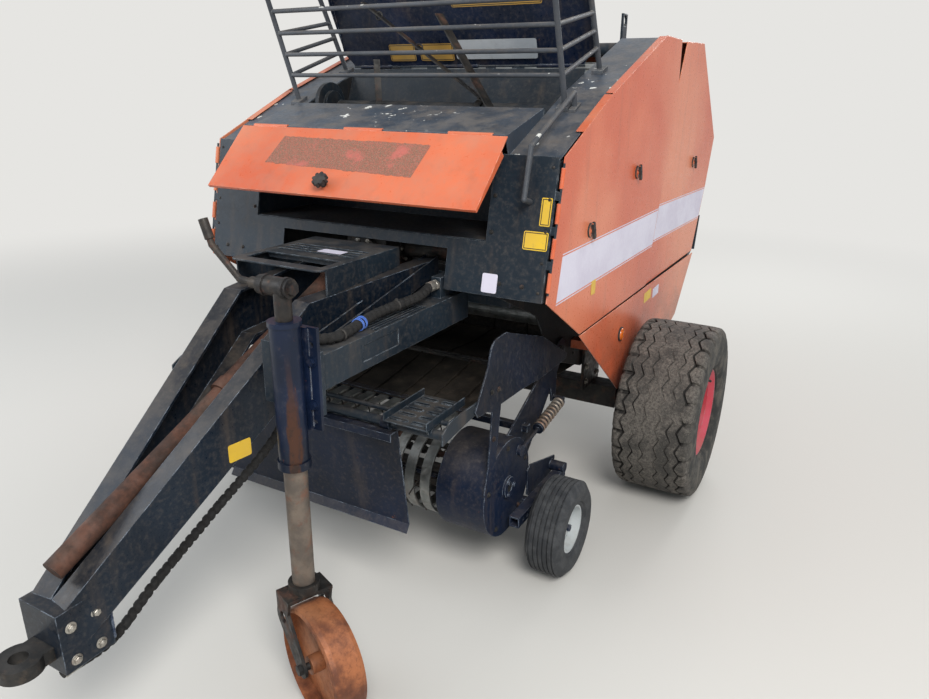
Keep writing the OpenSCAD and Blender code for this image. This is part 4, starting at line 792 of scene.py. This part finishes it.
def make_stickers():
    for label, body, material, at, plane, wide, tall, lean, rim in STICKERS:
        normal = Vector(NORMALS.get(plane, plane)).normalized()
        at = Vector(at)
        if plane in PLANES:
            x, y, z, out = PLANES[plane]
            at = at - normal * ((at - Vector((x, y, z))).dot(normal) - out)
        up = Vector((0, 0, 1))
        place = facing(at_axle(*at), normal, up) @ Matrix.Rotation(math.radians(lean), 4, "Z")
        slot = "orange_paint" if body.startswith("door") else "hood_paint"
        film_at(place, wide, tall).piece("sticker_" + label, material, body, slot)
        if rim:
            edge = Solid()
            on_film = place @ Matrix.Translation((0, 0, FILM))
            t, a, b = RIM_LINE, tall / 2 - RIM_INSET, wide / 2 - RIM_INSET
            for low, high in (((-a, -b), (a, -b + t)), ((-a, b - t), (a, b)), ((-a, -b + t), (-a + t, b - t)),
                              ((a - t, -b + t), (a, b - t))):
                edge.plate([low, (high[0], low[1]), high, (low[0], high[1])], on_film, 0.0005, 0.02)
            edge.piece("sticker_rim_" + label, "black_film", body, "hood_paint")


def make_side_marks(name, side):
    amber = Solid()
    place = facing(at_axle(side * 0.8182, -0.252, 0.838), (side, 0, 0))
    amber.turned([(0.03, 0), (0.03, 0.006), (0.027, 0.011), (0.015, 0.014)], place, 32)
    amber.piece("side_reflector_" + name, "orange_lens", "chassis", "orange_paint")
    ring = Solid()
    ring.turned([(0.031, 0), (0.034, 0.001), (0.034, 0.007), (0.031, 0.009)], place, 32, closed=True)
    ring.piece("reflector_rim_" + name, "knob", "chassis", "knob_black")


def make_latches(name, side):
    """Dark twist handles over the latches, with a square key hole in the middle."""
    for label, body, x, places in (("door", "door_" + name, DOOR_X, ((-0.76, 1.405), (-0.197, 1.575))),
                                   ("tail", "tailgate", TAIL_X, ((0.927, 1.532),))):
        solid = Solid()
        for y, z in places:
            hub = at_axle(side * x, y, z)
            ring = facing(hub, (side, 0, 0))
            solid.turned([(0.0285, 0.0), (0.0285, 0.004), (0.0262, 0.0064), (0.0262, 0.0)], ring, 32, closed=True)
            lean = math.radians(20)
            along = Vector((0, -math.sin(lean), math.cos(lean)))
            handle = facing(hub, (side, 0, 0), along)
            solid.box((-0.0352, -0.0102, 0.0115), (0.0352, 0.0102, 0.0212), handle, 0.22)
            solid.turned([(0.0085, 0.021), (0.0085, 0.0225), (0.0055, 0.0225), (0.0055, 0.0212)],
                         handle, 20, closed=True)
        solid.piece("latch_handles_" + label + "_" + name, "knob", body, "knob_black")


def make_spring(name, side):
    """The lift spring's coils in bare steel over its rod, turn by turn."""
    a, b = at_axle(side * 0.664, -0.99, 0.517), at_axle(side * 0.664, -0.56, 0.59)
    along = (b - a).normalized()
    solid = Solid()
    for turn in range(9):
        centre = a.lerp(b, 0.43 + 0.48 * turn / 8)
        place = facing(centre, along)
        section = [(0.02 + 0.0069 * math.cos(t), 0.0069 * math.sin(t))
                   for t in [2 * math.pi * k / 14 for k in range(14)]]
        solid.turned(section, place, 32, closed=True)
    solid.piece("spring_coils_" + name, "spring", "pickup", "bare_steel", 60)


def make_seam_seal(name, side):
    """The rubber lip inside the lower guard that closes its seam with the door and the tail panel."""
    solid = Solid()
    line = [(0.8136, 0.945), (0.796, 0.95), (0.793, 1.008), (0.79, 1.008), (0.7925, 0.946), (0.8136, 0.941)]
    solid.rings([[at_axle(side * x, -0.6 + i * 1.7 / 40, z) for x, z in line] for i in range(41)])
    solid.piece("seam_seal_" + name, "knob", "chassis", "knob_black")


def surface_of(node, start, way):
    """Where a line from start meets the surface of a CAD node, and the surface's normal there."""
    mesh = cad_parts[node].data
    tree = BVHTree.FromPolygons([v.co for v in mesh.vertices], [tuple(p.vertices) for p in mesh.polygons])
    return tree.ray_cast(start, Vector(way))[:2]


# name, node, start of the line that finds its place, the line's way, film, width, height
FOUND_STICKERS = [
    ("arm_warning", "drawbar", (1.787, -3.491, 1.921), (-1.52, 1.382, -1.008), "yellow", 0.085, 0.06),
    ("guard_top_label", "driveline_guard", (0.045, -1.372, 1.6), (0, 0, -1), "white", 0.11, 0.05),
]


def make_found_stickers():
    for label, node, start, way, film, wide, tall in FOUND_STICKERS:
        spot, normal = surface_of(node, at_axle(*start), way)
        if spot is None:
            continue
        up = (0, 0, 1) if abs(normal.z) < 0.7 else (0, 1, 0)
        film_at(facing(spot, normal, up), wide, tall).piece("sticker_" + label, film, "chassis", "hood_paint")


# Centre of the reel, radius of the bolts round it, and the other bolts of the end plate
REEL_Y, REEL_Z, REEL_BOLTS_R = -1.09, 0.395, 0.175
WING_BOLTS = ((-1.248, 0.869), (-1.193, 0.86), (-1.035, 0.608), (-1.224, 0.667), (-1.306, 0.403))


def make_wing_bolts(name, side):
    """Dark bolts on the pickup's end plate, each where the plate has metal."""
    solid = Solid()
    ring = [(REEL_Y + REEL_BOLTS_R * math.cos(math.radians(a)), REEL_Z + REEL_BOLTS_R * math.sin(math.radians(a)))
            for a in (20, 92, 164, 236, 308)]
    for y, z in list(WING_BOLTS) + ring:
        spot, normal = surface_of("pickup_frame", at_axle(side * 1.0, y, z), (-side, 0, 0))
        if spot is not None and abs(normal.x) > 0.9 and abs(spot.x) > 0.63:
            solid.bolt(spot, (side, 0, 0), 0.0075)
    solid.piece("wing_bolts_" + name, "steel", "pickup", "dark_steel")


LID_ANGLE, LID_SHEET = math.radians(45), 0.004


def make_lid_patch():
    """What is left of a decal on the lid: a strip with uneven edges, its X to the machine's left."""
    normal = Vector((0, -math.cos(LID_ANGLE), math.sin(LID_ANGLE)))
    place = facing(at_axle(0, -1.095, 1.765) + normal * LID_SHEET, normal, (1, 0, 0))
    rnd = random.Random(11)
    low, high = [], []
    count = 60
    for i in range(count + 1):
        t = i / count
        for edge, x, y, fall in ((low, -0.39, -0.19, 0.022), (high, -0.365, -0.052, 0.01)):
            edge.append((x + t * 0.7 + rnd.uniform(-0.002, 0.002), y - t * fall + rnd.uniform(-0.003, 0.003)))
    solid = Solid()
    solid.slab(low + high[::-1], place, OFF_SHEET, 0.0005)
    solid.piece("lid_bare_patch", "glue", "twine_lid", "orange_paint")


# Fasteners and welds

def make_fasteners():
    chassis = Solid()
    for angle in range(0, 360, 60):
        a = math.radians(angle)
        chassis.bolt(at_axle(0.048 * math.cos(a), -1.1262, 1.3 + 0.048 * math.sin(a)), (0, -1, 0), 0.006)
        for side in (-1, 1):
            chassis.bolt(at_axle(side * 0.1082, -0.955 + 0.053 * math.cos(a), 1.3 + 0.053 * math.sin(a)),
                         (side, 0, 0), 0.006)
    for side in (-1, 1):
        for y, z in ((-2.585, 0.545), (-2.51, 0.545), (-2.585, 0.44), (-2.51, 0.44)):
            chassis.bolt(at_axle(side * 0.0802, y, z), (side, 0, 0), 0.011)
        for y, z in ((-0.135, 0.52), (-0.135, 0.6), (0.03, 0.52), (0.03, 0.6), (-0.135, 0.7)):
            chassis.bolt(at_axle(side * 0.6242, y, z), (side, 0, 0), 0.011)
    chassis.piece("chassis_bolts", "zinc", "chassis", "bare_steel")
    both_sides(make_side_fasteners)


def on_face(x, up):
    """A point on the outside of the sloping front face: up is measured from its lower edge."""
    y, z = FACE_LOW
    spot = at_axle(x, y + up * math.cos(FACE_ANGLE), z + up * math.sin(FACE_ANGLE))
    return spot + Vector(NORMALS["face"]) * FACE_SHEET


def make_side_fasteners(name, side):
    face = Solid()
    for up in (0.035, 0.14, 0.25, 0.36, 0.47):
        face.rivet(on_face(side * 0.784, up), NORMALS["face"], 0.006)
    for x, up in ((0.575, 0.23), (0.575, 0.36), (0.575, 0.47), (0.63, 0.05), (0.72, 0.05)):
        face.bolt(on_face(side * x, up), NORMALS["face"], 0.0055)
    face.piece("face_rivets_" + name, "steel", "chassis", "hood_paint")
    cover = Solid()
    for y, z in ((-0.42, 1.04), (-0.42, 1.3), (-0.6, 1.1), (0.05, 0.8), (-0.3, 0.72)):
        cover.rivet(at_axle(side * 0.6102, y, z), (side, 0, 0), 0.008)
    cover.piece("wall_rivets_" + name, "steel", "chassis", "dark_steel")


# Middle of the bale chamber, radius of the circle of bearings, thickness of a bearing's flange
CHAMBER_Y, CHAMBER_Z, BEARING_R, BEARING_FLANGE = 0.455, 1.35, 0.685, 0.009


def make_bearings(name, side):
    """Flanged bearing housings on the outside of the chamber walls, one for each roller's shaft."""
    front, rear = Solid(), Solid()
    for solid, angles, tall in ((front, (118, 143, 168, 193, 218), 0.22),
                                (rear, (-115, -90, -64, -38, -12, 14, 40, 66), 1.0)):
        for angle in angles:
            a = math.radians(angle)
            y, z = CHAMBER_Y + BEARING_R * math.cos(a), CHAMBER_Z + BEARING_R * math.sin(a)
            place = facing(at_axle(side * 0.6101, y, z), (side, 0, 0), (0, math.cos(a), math.sin(a)))
            solid.slab(((-0.058, -0.014), (-0.03, -0.044), (0.03, -0.044), (0.058, -0.014), (0.058, 0.014),
                        (0.03, 0.044), (-0.03, 0.044), (-0.058, 0.014)), place, 0.0, BEARING_FLANGE)
            solid.turned([(r, BEARING_FLANGE - 0.001 + h * tall) for r, h in
                          ((0.04, 0.0), (0.038, 0.012), (0.03, 0.016), (0.026, 0.016), (0.026, 0.013),
                           (0.018, 0.013), (0.018, 0.026), (0.015, 0.028))], place, 28)
            if solid is rear:
                for u in (-0.045, 0.045):
                    solid.bolt(place @ Vector((u, 0, BEARING_FLANGE)), (side, 0, 0), 0.006)
    front.piece("front_bearings_" + name, "steel", "chassis", "dark_steel")
    rear.piece("rear_bearings_" + name, "steel", "tailgate", "dark_steel")


def make_tail_rivets():
    """Rivet rows on the tailgate's bent sheet, along its bends and its side edges."""
    profile = [(0.6, 2.148), (0.901, 2.156), (1.431, 1.644), (1.329, 1.362), (1.135, 0.985)]
    solid = Solid()
    corners = [at_axle(0, y, z) for y, z in profile]
    for a, b in zip(corners, corners[1:]):
        along = b - a
        normal = Vector((0, -along.z, along.y)).normalized()
        if normal.y < 0 and normal.z < 0:
            normal = -normal
        count = max(2, int(along.length / 0.11))
        for i in range(count):
            at = a.lerp(b, (i + 0.5) / count) + normal * OFF_SHEET
            for x in (-0.782, 0.782):
                solid.rivet(at + Vector((x, 0, 0)), normal, 0.0065)
    for y, z, normal in ((1.4055, 1.669, (0, 0.695, 0.719)), (1.309, 1.322, (0, 0.889, -0.457))):
        for i in range(13):
            solid.rivet(at_axle(-0.72 + i * 0.12, y, z), normal, 0.0065)
    solid.piece("tail_rivets", "orange", "tailgate", "orange_paint")


def make_welds():
    beads = Solid()
    runs = []
    for side in (-1, 1):
        runs += [((side * 0.275, -1.0102, 1.08), (side * 0.275, -1.0102, 1.225)),
                 ((side * 0.0805, -2.468, 0.585), (side * 0.0805, -2.468, 0.425)),
                 ((side * 0.604, -0.898, 1.125), (side * 0.604, -0.898, 1.225)),
                 ((side * 0.604, -1.0115, 1.125), (side * 0.604, -1.0115, 1.225))]
    for x in (0.33, 0.42):
        runs.append(((x, -1.9545, 0.96), (x, -1.9545, 1.27)))
    for seed, (a, b) in enumerate(runs, 1):
        beads.weld(at_axle(*a), at_axle(*b), 0.004, seed)
    beads.piece("weld_beads", "navy", "chassis", "navy_paint")


def make_lamps(name, side):
    for label, slot, y, z in (("red", "rim_red", 1.314, 1.03), ("orange", "orange_paint", 1.3383, 1.12)):
        solid = Solid()
        solid.turned([(0.0375, 0), (0.0375, 0.004), (0.034, 0.009), (0.022, 0.0135), (0.008, 0.015)],
                     facing(at_axle(side * 0.745, y, z), (0, 1, 0)), 32)
        solid.piece("tail_lens_" + label + "_" + name, label + "_lens", "tailgate", slot)


def make_intake():
    """The dark sheets behind the reel that lead the crop up to the chamber."""
    for name, body, half, line in (
            ("pickup_feed_sheet", "pickup", 0.43, [(-0.905, 0.578), (-0.8, 0.59), (-0.47, 0.64)]),
            ("chamber_feed_sheet", "chassis", 0.6,
             [(-0.45, 0.662), (-0.19, 0.64), (0.055, 0.648), (0.061, 0.705)])):
        solid = Solid()
        steps = 24
        section = line + [(y, z - 0.004) for y, z in reversed(line)]
        solid.rings([[at_axle(-half + 2 * half * i / steps, y, z) for y, z in section] for i in range(steps + 1)])
        for i in range(1, 6):
            x = -half + 2 * half * i / 6
            for a, b in zip(line, line[1:]):
                solid.sweep([at_axle(x, a[0], a[1] + 0.001), at_axle(x, b[0], b[1] + 0.001)], 0.006, 10)
        solid.piece(name, "feed", body, "dark_steel")


# Floor and light

FLOOR = "#c6c4bf"
BACKDROP = "#e6e5e2"


def make_floor():
    half = 30.0
    mesh = bpy.data.meshes.new("floor")
    mesh.from_pydata([(-half, -half, 0), (half, -half, 0), (half, half, 0), (-half, half, 0)], [],
                     [(0, 1, 2, 3)])
    floor = put("floor", mesh)
    s = Shader("floor")
    away = s.add("VectorMath", {0: s.place}, operation="LENGTH").outputs["Value"]
    far = s.ramp(away, 3.5, 9.0)
    surface = s.add("BsdfPrincipled", {"Base Color": rgba(FLOOR), "Roughness": 0.9})
    plain = s.add("Emission", {"Color": rgba(BACKDROP), "Strength": 1.0})
    mix = s.add("MixShader", {0: far, 1: surface.outputs["BSDF"], 2: plain.outputs["Emission"]})
    s.add("OutputMaterial", {"Surface": mix.outputs[0]})
    mesh.materials.append(s.material)


def make_world():
    """A pale sky that lights the part, and one plain colour where the camera looks past it."""
    world = bpy.data.worlds.new("world")
    world.use_nodes = True
    tree = world.node_tree
    tree.nodes.clear()
    camera_ray = add_node(tree, "LightPath").outputs["Is Camera Ray"]
    sky = add_node(tree, "Background", {"Color": (0.9, 0.95, 1.0, 1), "Strength": 0.6})
    backdrop = add_node(tree, "Background", {"Color": rgba(BACKDROP)})
    mix = add_node(tree, "MixShader", {0: camera_ray, 1: sky.outputs[0], 2: backdrop.outputs[0]})
    add_node(tree, "OutputWorld", {"Surface": mix.outputs[0]})
    bpy.context.scene.world = world


def make_lights():
    make_light("key", (4.5, -5.0, 6.5), (0, 0, 0.9), 4.0, 650, (1.0, 0.98, 0.95))
    make_light("fill", (-5.5, -4.0, 4.0), (0, 0, 0.9), 5.0, 220, (0.93, 0.96, 1.0))
    make_light("back", (1.0, 7.0, 5.0), (0, 0, 1.2), 4.0, 260)


make_camera()
make_world()
make_lights()
make_floor()
MATERIALS = make_materials()
dress_nodes(MATERIALS)
both_sides(make_tyre)
both_sides(make_gauge_tyre)
make_hoses()
both_sides(make_stripe)
make_stickers()
both_sides(make_side_marks)
make_lid_patch()
make_fasteners()
both_sides(make_bearings)
make_tail_rivets()
make_welds()
both_sides(make_lamps)
both_sides(make_latches)
both_sides(make_spring)
both_sides(make_seam_seal)
make_found_stickers()
both_sides(make_wing_bolts)
make_intake()

bpy.context.scene.view_settings.view_transform = "Standard"
